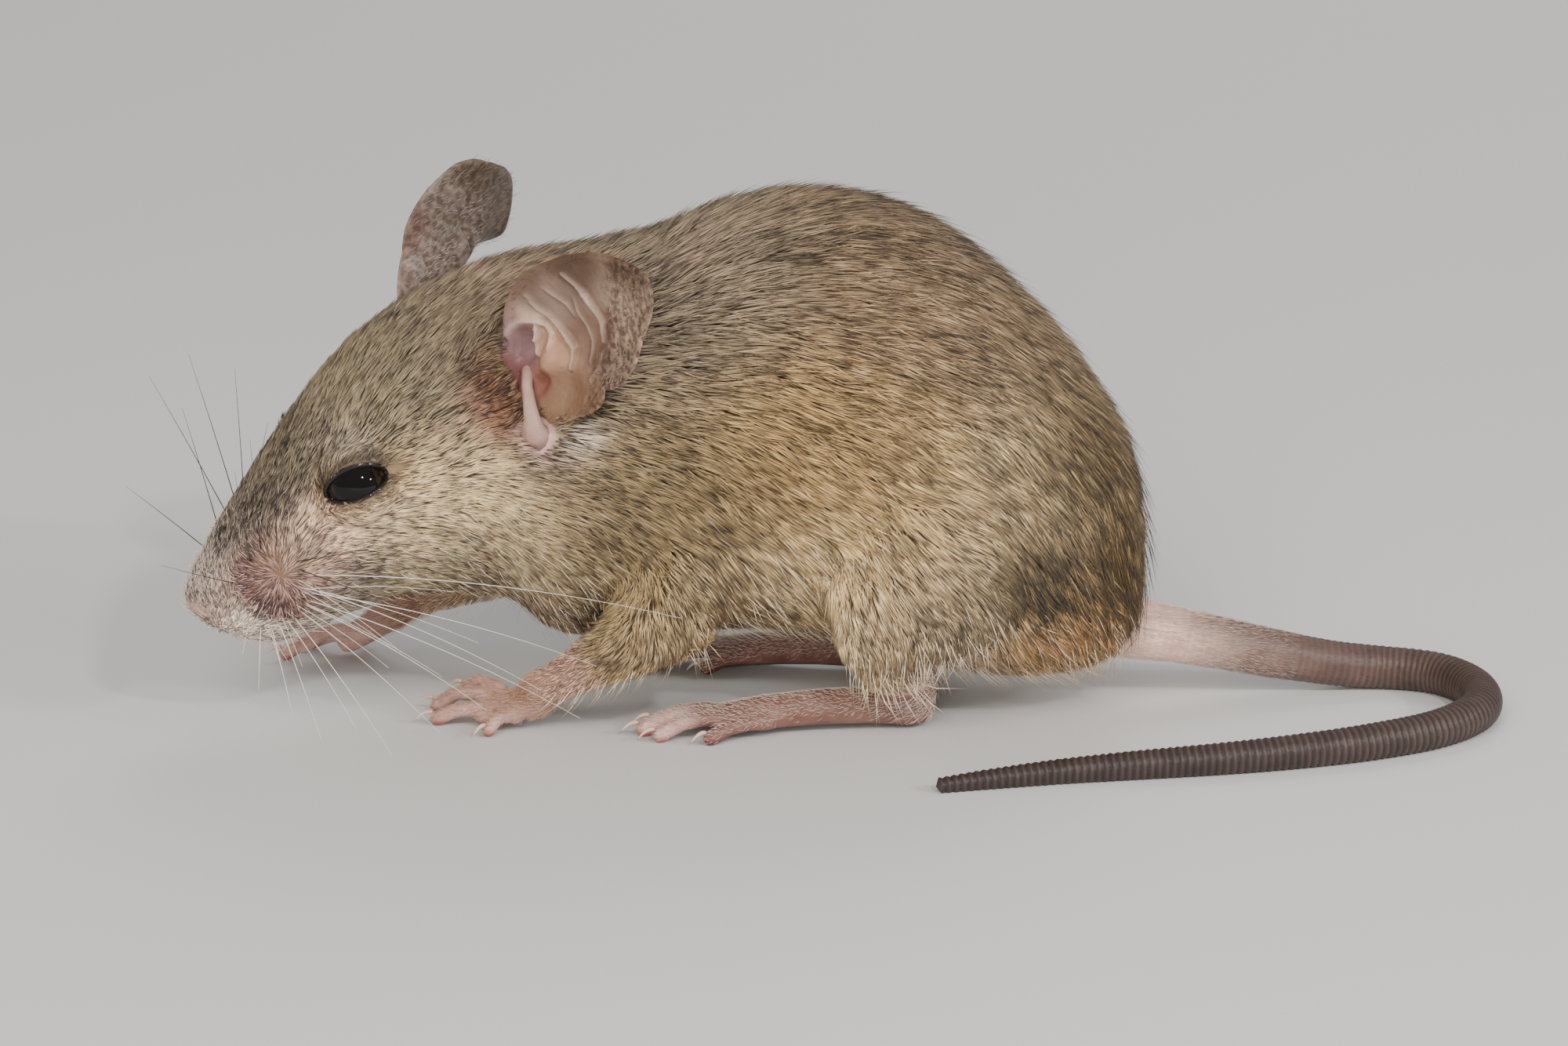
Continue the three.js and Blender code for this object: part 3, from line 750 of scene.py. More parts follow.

# ---- Skin finish --------------------------------------------------------------------------
# Thin warm skin. Under the coat it carries the same markings and painted shade as the hair, dark
# between the roots. It lies bare on the nose pad, lips, eyelids' margins and feet, pink and finely creased.
COAT_MARKS_AND_SHADE = (  # place in the row's mm (the right side is the left's mirror), reach in mm, sRGB
    # Snout, nose bridge, brow and crown: darker partly in the coat's own tone, partly as painted shade on the
    # top of the head.
    ("snout", (-36.4, -3.9, 13.6), 1.9, "#574c41"),
    ("nose bridge", (-33.8, -3.0, 15.5), 3.0, "#665b49"),
    ("brow", (-27.4, -1.5, 21.8), 4.5, "#70634c"),
    ("crown", (-21.8, -1.6, 25.6), 4.5, "#7b6851"),
    ("nose side", (-37.9, -5.6, 9.0), 1.3, "#a48e82"),
    ("whisker pad", (-34.2, -6.2, 9.4), 2.1, "#805951"),
    ("pad's edge", (-32.2, -6.6, 11.2), 1.5, "#a58872"),
    ("before the eye", (-31.4, -6.6, 12.8), 1.8, "#d2b598"),
    ("under the eye", (-28.4, -7.6, 13.2), 2.2, "#c2ab88"),
    ("cheek", (-24.2, -8.0, 13.4), 4.6, "#c6ae84"),
    ("lip", (-35.6, -5.6, 6.8), 1.2, "#cfc0b4"),
    ("chin", (-33.4, -4.2, 5.4), 1.9, "#b5a594"),
    ("throat", (-24.5, -4.4, 8.8), 4.0, "#928266"),
    ("jaw", (-30.4, -5.4, 8.6), 2.2, "#786a59"),
    ("before the ear", (-21.4, -6.2, 20.6), 1.7, "#7e5843"),
    ("in front of the opening", (-20.6, -5.6, 22.2), 1.2, "#79523f"),
    ("above the ear's front", (-20.6, -4.4, 24.6), 1.2, "#5f5040"),
    ("stalk's foot", (-18.8, -6.5, 19.1), 0.9, "#c5a79b"),
    ("below the ear", (-16.9, -6.5, 18.9), 0.75, "#ab9b84"),
    ("over the eye", (-29.7, -6.0, 17.4), 1.1, "#8f8069"),
    ("nose tip", (-38.8, -4.9, 9.9), 1.1, "#9c8f84"),
    # Partly painted shade on the top of the head, as for the snout above.
    ("nose ridge", (-37.6, -4.6, 12.2), 1.4, "#6a5f54"),
    ("nape", (-10.3, -2.0, 27.0), 6.0, "#7a6b56"),
    ("shoulder", (-13.5, -7.2, 14.0), 6.0, "#7d6a48"),
    ("elbow", (-10.0, -7.0, 7.0), 4.5, "#9d855e"),
    ("back", (0.0, 2.9, 32.0), 7.5, "#6d5b45"),
    ("upper flank", (2.0, -4.6, 26.5), 4.5, "#92795a"),
    ("flank", (-2.0, -8.6, 18.0), 7.0, "#a68655"),
    ("low flank", (-2.0, -7.6, 9.0), 5.0, "#dbc08f"),
    ("hip", (7.5, -8.6, 15.0), 6.0, "#bea57a"),
    ("thigh", (4.5, -8.4, 7.5), 4.5, "#a08968"),
    # Painted shadow in the crease behind the thigh, and on its mirror.
    ("behind the thigh", (10.4, -7.9, 11.0), 2.4, "#32220f"),
    ("rump", (14.2, -4.6, 16.0), 5.0, "#725e40"),
    ("rump's edge", (15.2, -4.6, 11.0), 2.4, "#685231"),
    ("under the tail", (12.6, -5.2, 6.9), 3.0, "#b98d56"),
    ("belly", (-4.0, 2.9, 2.5), 5.0, "#b0a084"),
    ("wrist", (-17.2, -4.6, 3.8), 1.6, "#b39280"),
    ("ankle", (4.3, -3.6, 3.6), 1.8, "#c9ae9c"),
)
BODY_MIDDLE = 2.95  # the body's own left-right middle, in row mm


def mirrored(place):
    """The same place on the animal's other side: over the head's plane, or the body's behind it."""
    back, left, up = in_head(np.array([place]) * MM)[0]
    if back < 27:
        return tuple(on_head(back, -left, up) / MM)
    return (place[0], 2 * BODY_MIDDLE - place[1], place[2])


def markings_and_shade(points):
    """The coat's linear colour at points, its painted shade included."""
    total = np.zeros((len(points), 3))
    weight = np.full(len(points), 1e-6)
    for name, place, reach, colour in COAT_MARKS_AND_SHADE:
        for spot in (place, mirrored(place)):
            far = mm_from(points, spot)
            share = (1 / (1 + (far / reach) ** 6) + 0.02 / (1 + (far / reach) ** 2)) / reach**1.5
            total += share[:, None] * rgb(colour)
            weight += share
    return total / weight[:, None]


def to_lids(points):
    """Distance in mm over the head from the edge of the nearest eye's almond."""
    nearest = np.full(len(points), 9.0)
    for side in EYE_CENTRES:
        near = lengths(points - EYE_CENTRES[side]) < 5 * MM
        nearest = np.where(near, np.minimum(nearest, lid_distance(points, side) / MM), nearest)
    return nearest


def bareness(points, is_foot):
    """1 where the skin is bare, 0 where the coat covers it."""
    place = in_head(points)
    pad = lengths((place - np.array([0.4, 0, -0.2])) / np.array([0.8, 1.2, 0.8]))
    bare = 1 - smooth_step(0.7, 1.15, pad)
    cleft = lengths((place - np.array([1.5, 0, -1.4])) / np.array([0.9, 0.5, 1.0]))
    bare = np.maximum(bare, 0.8 * (1 - smooth_step(0.6, 1.2, cleft)))
    for spot in mouth_spots((0, 0.33, 0.67)):
        bare = np.maximum(bare, 0.7 * (1 - smooth_step(0.2, 0.45, lengths(place - spot))))
    bare = np.maximum(bare, 1 - smooth_step(0.12, 0.3, to_lids(points)))
    for side in EARS:
        u, v, off = in_leaf(points, side)
        open_skin = 1 - smooth_step(-0.03, 0.05, np.hypot(u, v) - ear_rim(side, u, v))
        bare = np.maximum(bare, np.where((off > -1.2 * MM) & (off < 2.5 * MM), open_skin, 0))
        from_stalk = np.min([mm_from(points, spot / MM) for spot in stalk_line(side)[2:]], axis=0)
        bare = np.maximum(bare, 1 - smooth_step(1.0, 1.6, from_stalk))
    return np.maximum(bare, is_foot)


coat_roots = {"points": points, "normals": normals_of(skin.data), "owner": owner}
coat_roots["faces"] = np.array([p.vertices[:] for p in skin.data.polygons])
skin_tree = kdtree.KDTree(len(points))
for index, point in enumerate(points):
    skin_tree.insert(point, index)
skin_tree.balance()

select_only(skin)
thinner = skin.modifiers.new("thinner", "DECIMATE")
thinner.ratio = min(1, 165000 / (2 * len(skin.data.polygons)))
bpy.ops.object.modifier_apply(modifier=thinner.name)

# The lids' rims: a dark wet edge that rolls out over the eyeball and down into the skin.
RIM = (  # mm out from the almond, radius from the eye's middle in mm
    (0.0, 1.62), (0.0, 1.87), (0.03, 1.95), (0.1, 2.02), (0.2, 2.05), (0.34, 2.05), (0.6, 2.03), (0.9, 1.96),
    (0.9, 1.55),
)
rims = []
for side, centre in EYE_CENTRES.items():
    rearward, across, out = (np.array(v) for v in eye_frame(side))
    steps = 96
    around, edge = almond(steps)
    ring = []
    for off, radius in RIM:
        polar = edge + off / 1.95
        sideways = np.outer(np.cos(around), rearward) + np.outer(np.sin(around), across)
        away = np.outer(np.cos(polar), out) + np.sin(polar)[:, None] * sideways
        ring.append(centre + away * radius * MM)
    faces = band(len(RIM), steps)
    last = (len(RIM) - 1) * steps
    faces += [(last + k, last + (k + 1) % steps, (k + 1) % steps, k) for k in range(steps)]
    rims.append(new_piece(f"rim_{side}", np.concatenate(ring), faces))
face_outward(*rims)
select_only(skin, *rims)
bpy.ops.object.join()
bpy.ops.object.shade_smooth()

points = points_of(skin.data)
owner = sorted_by_node(points, flesh_tree, flesh_owner)
on_foot = relaxed(np.isin(owner, FEET).astype(float)[:, None], edges_of(skin.data), 3)[:, 0]
place = in_head(points)
x, z = points[:, 0] / MM, points[:, 2] / MM
nostril = np.min([lengths(place - np.array([1.27, left, -0.37])) for left in (1.85, -1.85)], axis=0)
redness = np.maximum(on_foot * (1 - smooth_step(0.15, 0.6, z)), 1 - smooth_step(0.25, 0.55, nostril))
hind = np.isin(owner, [FLESH.index("foot_hind_left"), FLESH.index("foot_hind_right")])
# The far forepaw's wrist end, which gets painted shade.
far_arm_shade = smooth_step(-31, -27, x) * (owner == FLESH.index("foot_fore_right"))
near_paw = (owner == FLESH.index("foot_fore_left")) * (0.45 + 0.55 * smooth_step(-21, -19, x))
give_colours(skin.data, "marking_and_shade", markings_and_shade(points))
give_numbers(skin.data, "bare", bareness(points, on_foot))
give_numbers(skin.data, "wet", 1 - smooth_step(0.2, 0.36, to_lids(points)))
give_numbers(skin.data, "sole", redness)
# Darker feet: a browner tone over the hind feet and the near forepaw, and painted shade on the far forepaw's
# wrist end.
give_numbers(skin.data, "dusk", np.max([hind * smooth_step(-11.5, -8, x), far_arm_shade, 0.6 * near_paw], axis=0))


def painted(material, name, output="Fac"):
    """What the piece's own points carry under this name."""
    return node(material, "ShaderNodeAttribute", attribute_name=name).outputs[output]


def ramp(material, number, *stops):
    """A run of colours along a number, from (position, sRGB) stops in order."""
    made = node(material, "ShaderNodeValToRGB", {"Fac": number})
    elements = made.color_ramp.elements
    for element, (position, code) in zip(elements, (stops[0], stops[-1])):
        element.position, element.color = position, linear(code)
    for position, code in stops[1:-1]:
        elements.new(position).color = linear(code)
    return made.outputs["Color"]


def mixed(material, share, first, second, way="MIX"):
    """Two colours mixed by a share. A colour is a socket, an sRGB code or four numbers."""
    made = node(material, "ShaderNodeMixRGB", blend_type=way)
    for key, value in (("Fac", share), ("Color1", first), ("Color2", second)):
        if isinstance(value, (str, float, tuple)):
            made.inputs[key].default_value = linear(value) if isinstance(value, str) else value
        else:
            wire(material, value, made.inputs[key])
    return made.outputs["Color"]


def times(material, number, factor):
    made = node(material, "ShaderNodeMath", {0: number}, operation="MULTIPLY")
    made.inputs[1].default_value = factor
    return made.outputs["Value"]


def emboss(material, shader, height, strength, depth=0.1 * MM):
    bump = node(material, "ShaderNodeBump", {"Height": height}, Strength=strength, Distance=depth)
    wire(material, bump.outputs["Normal"], shader.inputs["Normal"])


# Bare skin: pink, soft and a little see-through, finely creased. Under the coat: dark felt.
hide, shader = new_material("mouse_skin")
place = node(hide, "ShaderNodeTexCoord").outputs["Object"]
bare, wet = painted(hide, "bare"), painted(hide, "wet")
mottle = node(hide, "ShaderNodeTexNoise", {"Vector": place}, Scale=900, Detail=3).outputs["Fac"]
pink = ramp(hide, mottle, (0.3, "#b08a80"), (0.7, "#d0aea4"))
red = mixed(hide, painted(hide, "sole"), pink, "#a05e54")
# Feet darkened by their own tone, and by painted shade on the far forepaw.
brownish = mixed(hide, painted(hide, "dusk"), red, "#a08e88", "MULTIPLY")
felt = mixed(hide, 1.0, painted(hide, "marking_and_shade", "Color"), "#c4beb6", "MULTIPLY")
rimmed = mixed(hide, wet, mixed(hide, bare, felt, brownish), "#17110f")
wire(hide, rimmed, shader.inputs["Base Color"])
shine = node(hide, "ShaderNodeMapRange", {"Value": wet}, To_Min=0.5, To_Max=0.22).outputs["Result"]
wire(hide, shine, shader.inputs["Roughness"])
creases = node(hide, "ShaderNodeTexVoronoi", {"Vector": place}, Scale=3600, feature="DISTANCE_TO_EDGE")
emboss(hide, shader, creases.outputs["Distance"], 0.35)
wire(hide, times(hide, bare, 0.35), shader.inputs["Subsurface Weight"])
set_inputs(shader, Subsurface_Radius=(0.9, 0.35, 0.25), Subsurface_Scale=0.6 * MM)
skin.data.materials.append(hide)
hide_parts(*FLESH)
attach(skin, "root")

# ---- Eyes ---------------------------------------------------------------------------------
# Round wet balls that bulge half out of the head, black all over, under a clear cornea that
# swells a little in the middle. The lids hold them.
eyes = {}
for side, centre in EYE_CENTRES.items():
    bpy.ops.object.select_all(action="DESELECT")
    bpy.ops.mesh.primitive_uv_sphere_add(
        segments=64, ring_count=32, radius=EYE_RADIUS, location=tuple(centre)
    )
    eyeball = bpy.context.object
    eyeball.name = f"eyeball_{side}"
    bpy.ops.object.transform_apply(location=True, rotation=True, scale=True)
    out = np.array(eye_frame(side)[2])
    away = points_of(eyeball.data) - centre
    bulge = 0.05 * MM * smooth_step(0.55, 0.9, away @ out / EYE_RADIUS)
    place_points(eyeball.data, centre + away * (1 + bulge / EYE_RADIUS)[:, None])
    bpy.ops.object.shade_smooth()
    eyes[side] = eyeball
wet_black, shader = new_material("wet_black_cornea")
place = node(wet_black, "ShaderNodeTexCoord").outputs["Object"]
depths = node(wet_black, "ShaderNodeTexNoise", {"Vector": place}, Scale=500, Detail=2).outputs["Fac"]
wire(wet_black, ramp(wet_black, depths, (0.0, "#040303"), (1.0, "#0c0807")), shader.inputs["Base Color"])
set_inputs(shader, Roughness=0.04, IOR=1.38)
for side, eyeball in eyes.items():
    eyeball.data.materials.append(wet_black)
    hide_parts(f"eye_{side}")
    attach(eyeball, "root")

# ---- Tail ---------------------------------------------------------------------------------
# Long, round and nearly bare, ringed with rows of small scales, with a hair at every scale.
# It leaves the rump high, hooks over and comes back to lie on the ground beside the feet.
TAIL_PATH = (  # row mm: x, y and radius
    (15.6, 0, 1.85), (18.4, 0.2, 1.75), (22, 0.6, 1.62), (25.8, 1.2, 1.5), (29.8, 1.9, 1.38),
    (33.6, 2.4, 1.3), (36.8, 1.2, 1.25), (38.6, -2, 1.2), (38.3, -6, 1.16), (35.6, -9.6, 1.1),
    (31.3, -12.2, 1.05), (26.5, -14, 0.98), (21.8, -15.2, 0.9), (17.2, -16.1, 0.82), (12.6, -17, 0.7),
    (8.6, -18, 0.56), (5.6, -18.8, 0.42),
)
TAIL_SHIFT = np.array([-0.45, 2.95, 0.0])
SCALE_ROW = 0.45 * MM


def tail_height(step, radius):
    """Height of the tail's middle in mm at a step along its path: down from the rump to the ground."""
    t = np.clip(1 - step / 5.2, 0, 1)
    return radius - 0.06 + (4.7 - radius) * t * t * (3 - 2 * t)


def through(rows, samples):
    """A smooth line through rows of numbers, with so many samples from one row to the next."""
    rows = np.array(rows, float)
    padded = np.concatenate([[2 * rows[0] - rows[1]], rows, [2 * rows[-1] - rows[-2]]])
    parts = []
    t = np.linspace(0, 1, samples, endpoint=False)[:, None]
    for k in range(len(rows) - 1):
        a, b, c, d = padded[k : k + 4]
        square, cube = 2 * a - 5 * b + 4 * c - d, 3 * b - a - 3 * c + d
        parts.append(0.5 * (2 * b + (c - a) * t + square * t**2 + cube * t**3))
    return np.concatenate(parts + [rows[-1:]])


path = through(TAIL_PATH, 60)
step = np.linspace(0, len(TAIL_PATH) - 1, len(path))
tail_line = np.stack([path[:, 0], path[:, 1], tail_height(step, path[:, 2])], axis=1) + TAIL_SHIFT
gone = np.concatenate([[0], np.cumsum(lengths(np.diff(tail_line, axis=0)))])
stations = np.arange(0, gone[-1], SCALE_ROW / MM / 4)
tail_middle = np.stack([np.interp(stations, gone, tail_line[:, k]) for k in range(3)], axis=1) * MM
tail_radius = np.interp(stations, gone, path[:, 2]) * MM
row_phase = np.arange(len(stations)) % 4
ringed_share = smooth_step(0.1, 0.45, stations / stations[-1])
lift = np.array([0.0, 0.55, 1.0, 0.6])[row_phase] * (0.02 + 0.08 * ringed_share) * MM
TAIL_SIDES = 36
tail_points, tail_faces = tube(tail_middle, tail_radius * 0.985 + lift, TAIL_SIDES)
tail_points[:, 2] = np.maximum(tail_points[:, 2], 0.0)
tail = new_piece("tail_skin", tail_points, tail_faces)
above = tail_points[:-2, 2] - np.repeat(tail_middle[:, 2], TAIL_SIDES)
topmost = smooth_step(-0.1, 0.95, above / np.repeat(tail_radius, TAIL_SIDES))
# Painted ring light and shade: lighter on each row's crest, darker in the groove before it.
ring_light_and_shade = 1 + (np.array([0.0, 0.35, 1.0, 0.5])[row_phase] - 1) * (0.12 + 0.88 * ringed_share)
end_top = smooth_step(-0.1, 0.95, 0.0)
give_numbers(tail.data, "tipward", np.append(np.repeat(stations / stations[-1], TAIL_SIDES), [0, 1]))
give_numbers(tail.data, "topmost", np.append(topmost, [end_top, end_top]))
give_numbers(tail.data, "scale", np.append(np.repeat(ring_light_and_shade, TAIL_SIDES), [0, 1]))
select_only(tail)
bpy.ops.object.shade_smooth()

# Horny scale skin: pink-beige at the rump, purple-brown along the loop, dark towards the tip. Each ring is
# painted lighter on its crest (painted highlight) and darker in its groove (painted shade).
ringed, shader = new_material("scaly_tail_skin")
place = node(ringed, "ShaderNodeTexCoord").outputs["Object"]
tipward = painted(ringed, "tipward")
along = ramp(
    ringed, tipward, (0, "#cfaea1"), (0.07, "#b9998d"), (0.14, "#634e47"), (0.22, "#4c3b35"),
    (0.36, "#3d302b"), (1, "#2e2422"),
)
blotch = node(ringed, "ShaderNodeTexNoise", {"Vector": place}, Scale=700, Detail=3).outputs["Fac"]
varied = mixed(ringed, 0.5, along, blotch, "OVERLAY")
# The painted ring highlight and shade, read from the "scale" numbers.
ring_light_and_shade = node(ringed, "ShaderNodeMapRange", {"Value": painted(ringed, "scale")}, To_Min=0.45, To_Max=1.5)
ring_lit_and_shaded = mixed(ringed, 1.0, varied, ring_light_and_shade.outputs["Result"], "MULTIPLY")
early = ramp(ringed, tipward, (0.03, "#000000"), (0.1, "#e7e7e7"), (0.3, "#595959"))
shaded = node(ringed, "ShaderNodeMath", {0: painted(ringed, "topmost"), 1: early}, operation="MULTIPLY")
two_tone = mixed(ringed, shaded.outputs["Value"], ring_lit_and_shaded, "#4a3932")
wire(ringed, two_tone, shader.inputs["Base Color"])
scutes = node(ringed, "ShaderNodeTexVoronoi", {"Vector": place}, Scale=2600)
emboss(ringed, shader, scutes.outputs["Distance"], 0.3)
set_inputs(shader, Roughness=0.48)
tail.data.materials.append(ringed)
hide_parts("tail_root", "tail_middle", "tail_bend", "tail_turn", "tail_return", "tail_tip")
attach(tail, "root")

# ---- Claws --------------------------------------------------------------------------------
# Thin curved horn points, one to a toe, whitish and clear at the tip. Each grows out of the
# end of its toe, along the line of the toe's own claw solid.
claw_points, claw_faces, claw_along = [], [], []
CLAWS = [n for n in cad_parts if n.startswith("claw_")]
for name in CLAWS:
    solid = points_of(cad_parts[name].data)
    middle = solid.mean(0)
    axis = np.linalg.svd(solid - middle)[2][0]
    reach = (solid - middle) @ axis
    across = lengths(solid - middle - np.outer(reach, axis))
    end_widths = across[reach > reach.max() * 0.6].max(), across[reach < reach.min() * 0.6].max()
    if end_widths[0] > end_widths[1]:
        axis, reach = -axis, -reach
    thick = max(end_widths)
    root = middle + axis * (reach.min() - 0.35 * MM)
    tip = middle + axis * (reach.min() + 0.66 * np.ptp(reach))
    t = np.linspace(0, 1, 9)
    line = root + np.outer(t, tip - root)
    line[:, 2] += 0.2 * MM * np.sin(t * math.pi * 0.9)
    radii = thick * 0.6 * np.interp(t, [0, 0.25, 0.6, 0.9, 1], [0.85, 1.0, 0.7, 0.32, 0.12])
    line[:, 2] = np.maximum(line[:, 2], radii * 0.9 + 0.02 * MM)
    points, faces = tube(line, radii, 10)
    claw_faces += shifted(faces, sum(len(p) for p in claw_points))
    claw_points.append(points)
    claw_along.append(np.append(np.repeat(t, 10), [0, 1]))
claws = new_piece("claws_horn", np.concatenate(claw_points), claw_faces)
give_numbers(claws.data, "tipward", np.concatenate(claw_along))
select_only(claws)
bpy.ops.object.shade_smooth()
horn, shader = new_material("clear_horn")
clear = ramp(horn, painted(horn, "tipward"), (0, "#c79a8c"), (1, "#cdbfb1"))
wire(horn, clear, shader.inputs["Base Color"])
set_inputs(shader, Roughness=0.28, Subsurface_Weight=0.3, Subsurface_Scale=0.3 * MM)
claws.data.materials.append(horn)
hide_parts(*CLAWS)
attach(claws, "root")

# ---- Ear finish ---------------------------------------------------------------------------
# Bare-looking skin over gristle. Mauve at the opening, peach behind it, glistening on the folds
# with a painted highlight on their crests, painted shade beside the stalk, brown and speckled with
# fine hairs towards the rim and outside.
leaf_skin, shader = new_material("ear_skin")
place = node(leaf_skin, "ShaderNodeTexCoord").outputs["Object"]
crest = painted(leaf_skin, "crest")
speckle = node(leaf_skin, "ShaderNodeTexNoise", {"Vector": place}, Scale=2600, Detail=3).outputs["Fac"]
mottle = node(leaf_skin, "ShaderNodeTexNoise", {"Vector": place}, Scale=620, Detail=3).outputs["Fac"]
specks = ramp(leaf_skin, speckle, (0.38, "#968c84"), (0.66, "#ffffff"))
clouds = ramp(leaf_skin, mottle, (0.3, "#d8d0cc"), (0.7, "#ffffff"))
clouded = mixed(leaf_skin, 1.0, painted(leaf_skin, "marking_and_shade", "Color"), clouds, "MULTIPLY")
dotted = mixed(leaf_skin, painted(leaf_skin, "speckled"), clouded, specks, "MULTIPLY")
# The folds' crests are painted paler: a painted highlight.
fold_highlighted = mixed(leaf_skin, times(leaf_skin, crest, 0.5), dotted, "#c9b3a2")
wire(leaf_skin, fold_highlighted, shader.inputs["Base Color"])
emboss(leaf_skin, shader, speckle, 0.55, 0.12 * MM)
gloss = node(leaf_skin, "ShaderNodeMapRange", {"Value": crest}, To_Min=0.42, To_Max=0.26)
wire(leaf_skin, gloss.outputs["Result"], shader.inputs["Roughness"])
set_inputs(shader, Subsurface_Weight=0.12, Subsurface_Radius=(1.0, 0.4, 0.3), Subsurface_Scale=0.5 * MM)
for side, ear in ears.items():
    ear.data.materials.append(leaf_skin)
    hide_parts(f"ear_{side}")
    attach(ear, "root")

# ---- Coat ---------------------------------------------------------------------------------
# Soft sleek fur, each hair slate at its root, buff above and often dark at its tip. It lies
# back over the head and trunk and down the legs, in thin tufts whose tips draw into locks.
LIE = (  # row mm, and how the hair lies there: degrees up from straight back, seen from the left
    (-38.1, -5.3, 10, 100), (-37.7, -4.3, 11.9, 62), (-36.4, -3.8, 14.2, 60), (-31.7, -2.1, 21.2, 50),
    (-27.9, -2.6, 24.2, 42), (-24.2, -2.4, 26, 30), (-20.6, -0.4, 28, 18), (-30.2, -5.4, 18.7, 60),
    (-32.3, -6.1, 14.8, 65), (-29.3, -6.2, 13.7, 18), (-25.1, -6.1, 15.8, 20), (-24.1, -6.2, 18.6, 36),
    (-22.3, -4.4, 22, 42), (-21.1, -6.3, 19.6, -5), (-28, -5.3, 10.8, -3), (-24.3, -4.8, 11.6, -8),
    (-20.5, -5.9, 13.8, -14), (-21.6, -2.8, 9.3, -35), (-16.8, -6.6, 15.9, -12), (-15, -6.3, 12.5, -30),
    (-13, -6.6, 18.7, -14), (-10.3, -5.5, 24.2, -5), (-10.8, -1.6, 28.5, 8), (-3.8, 0.1, 31.3, -2),
    (-3.8, -4.6, 28.2, -8), (-3.8, -7.1, 24.1, -15), (-3.8, -8.5, 17.3, -25), (-8.5, -7.6, 14.7, -28),
    (-8.5, -7.3, 9.4, -48), (-4.8, -6.6, 10.2, -42), (2.2, -2, 30, -18), (5.3, -6.7, 24, -24),
    (5.3, -9.3, 15.7, -34), (3, -10, 9.7, -50), (9.2, -1.2, 26, -38), (11.8, -5.6, 19, -50),
    (12.3, -7.1, 12.2, -55), (10.1, -7, 7.4, -48), (14.8, -4.9, 7.3, -52), (16.2, -3, 14, -72),
    (-11.7, -7.8, 8.1, -70), (-13.6, -7.3, 6.7, -120), (-15.7, -6.4, 4.8, 215), (-0.2, -9.3, 8, -60),
    (3.1, -8.5, 5.4, -100), (-6, 2.95, 1.5, 0), (4, 2.95, 2, 0), (-14, 2, 2.5, 0), (-22, -1, 3.5, -10),
    (-32, -3.5, 3.5, -25), (15.6, 2.95, 6, -75), (10, 2.95, 2.5, -20), (-6, 2.9, 31, 0), (6, 2.95, 31.5, -14),
    (12, 2.95, 27, -40), (16.5, 2.95, 18, -70),
)
PIECE_TUFTS = 19500  # the most tufts in one piece
rng = np.random.default_rng(11)


def nearest_skin(points):
    return np.array([skin_tree.find(p)[1] for p in points])


def laid(ways, normals):
    """Ways turned to run along the skin."""
    return unit(ways - normals * np.sum(ways * normals, axis=1)[:, None])


def lie_of_coat(points, normals, owner):
    """The way the hair lies at points, along the skin."""
    rows = np.array(LIE)
    angle = np.radians(rows[:, 3])
    ways = np.stack([np.cos(angle), 0.26 * np.sin(angle), 0.97 * np.sin(angle)], axis=1)
    spots = rows[:, :3] * MM
    ways = laid(ways, coat_roots["normals"][nearest_skin(spots)])
    far_spots = np.array([mirrored(p / MM) for p in spots]) * MM
    on_the_head = (in_head(spots)[:, 0] < 27)[:, None]
    left = np.array(LEFT)
    far_ways = np.where(on_the_head, ways - 2 * np.outer(ways @ left, left), ways * np.array([1, -1, 1]))
    result = np.zeros_like(points)
    for spot, way in zip(np.concatenate([spots, far_spots]), np.concatenate([ways, far_ways])):
        far = lengths(points - spot) / MM
        result += way / (far[:, None] ** 2 + 2.5) ** 2
    result = unit(result)
    for name, wrist in WRISTS.items():
        down = np.array(wrist) * MM - points
        far = lengths(down)[:, None]
        share = 0.85 * (1 - smooth_step(4, 11, far / MM)) * (owner == FLESH.index(name))[:, None]
        result = result * (1 - share) + down / far * share
    result = np.where(np.isin(owner, FEET)[:, None], np.array([-1.0, 0.0, -0.2]), result)
    for sign in (1, -1):
        away = points - on_head(5.4, 3.6 * sign, 0.2)
        far = lengths(away)[:, None]
        share = 0.9 * (1 - smooth_step(1.8, 3.6, far / MM))
        result = result * (1 - share) + away / far * share
    return laid(result, normals)


def scatter(density):
    """Roots spread over the skin, so many to the square mm: points, normals, owners."""
    faces = coat_roots["faces"]
    triangles = np.concatenate([faces[:, [0, 1, 2]], faces[:, [0, 2, 3]]])
    a, b, c = (coat_roots["points"][triangles[:, k]] for k in range(3))
    area = lengths(np.cross(b - a, c - a)) / 2 / MM**2
    total = np.cumsum(area * density[triangles].mean(axis=1))
    corner = triangles[np.searchsorted(total, np.arange(0.5, total[-1]))]
    share = rng.random((len(corner), 2))
    share = np.where(share.sum(1, keepdims=True) > 1, 1 - share, share)
    share = np.column_stack([1 - share.sum(1), share])
    roots = np.einsum("nk,nkj->nj", share, coat_roots["points"][corner])
    normals = np.einsum("nk,nkj->nj", share, coat_roots["normals"][corner])
    return roots, unit(normals), coat_roots["owner"][corner[:, 0]]


def swayed(ways, normals, degrees):
    """Ways along the skin, each turned a little to one side or the other."""
    turn = np.radians(rng.normal(0, degrees, len(ways)))[:, None]
    return ways * np.cos(turn) + np.cross(ways, normals) * np.sin(turn)


def sprout(density, sway):
    """Roots scattered over the skin: points, normals, owners and how the hair lies at each."""
    roots, normals, owner = scatter(density)
    return roots, normals, owner, swayed(lie_of_coat(roots, normals, owner), normals, sway)


def settle(points):
    """Points moved onto the skin, and the skin's normals there."""
    near = nearest_skin(points)
    facing = coat_roots["normals"][near]
    off = np.sum((points - coat_roots["points"][near]) * facing, axis=1)
    return points - facing * off[:, None], facing


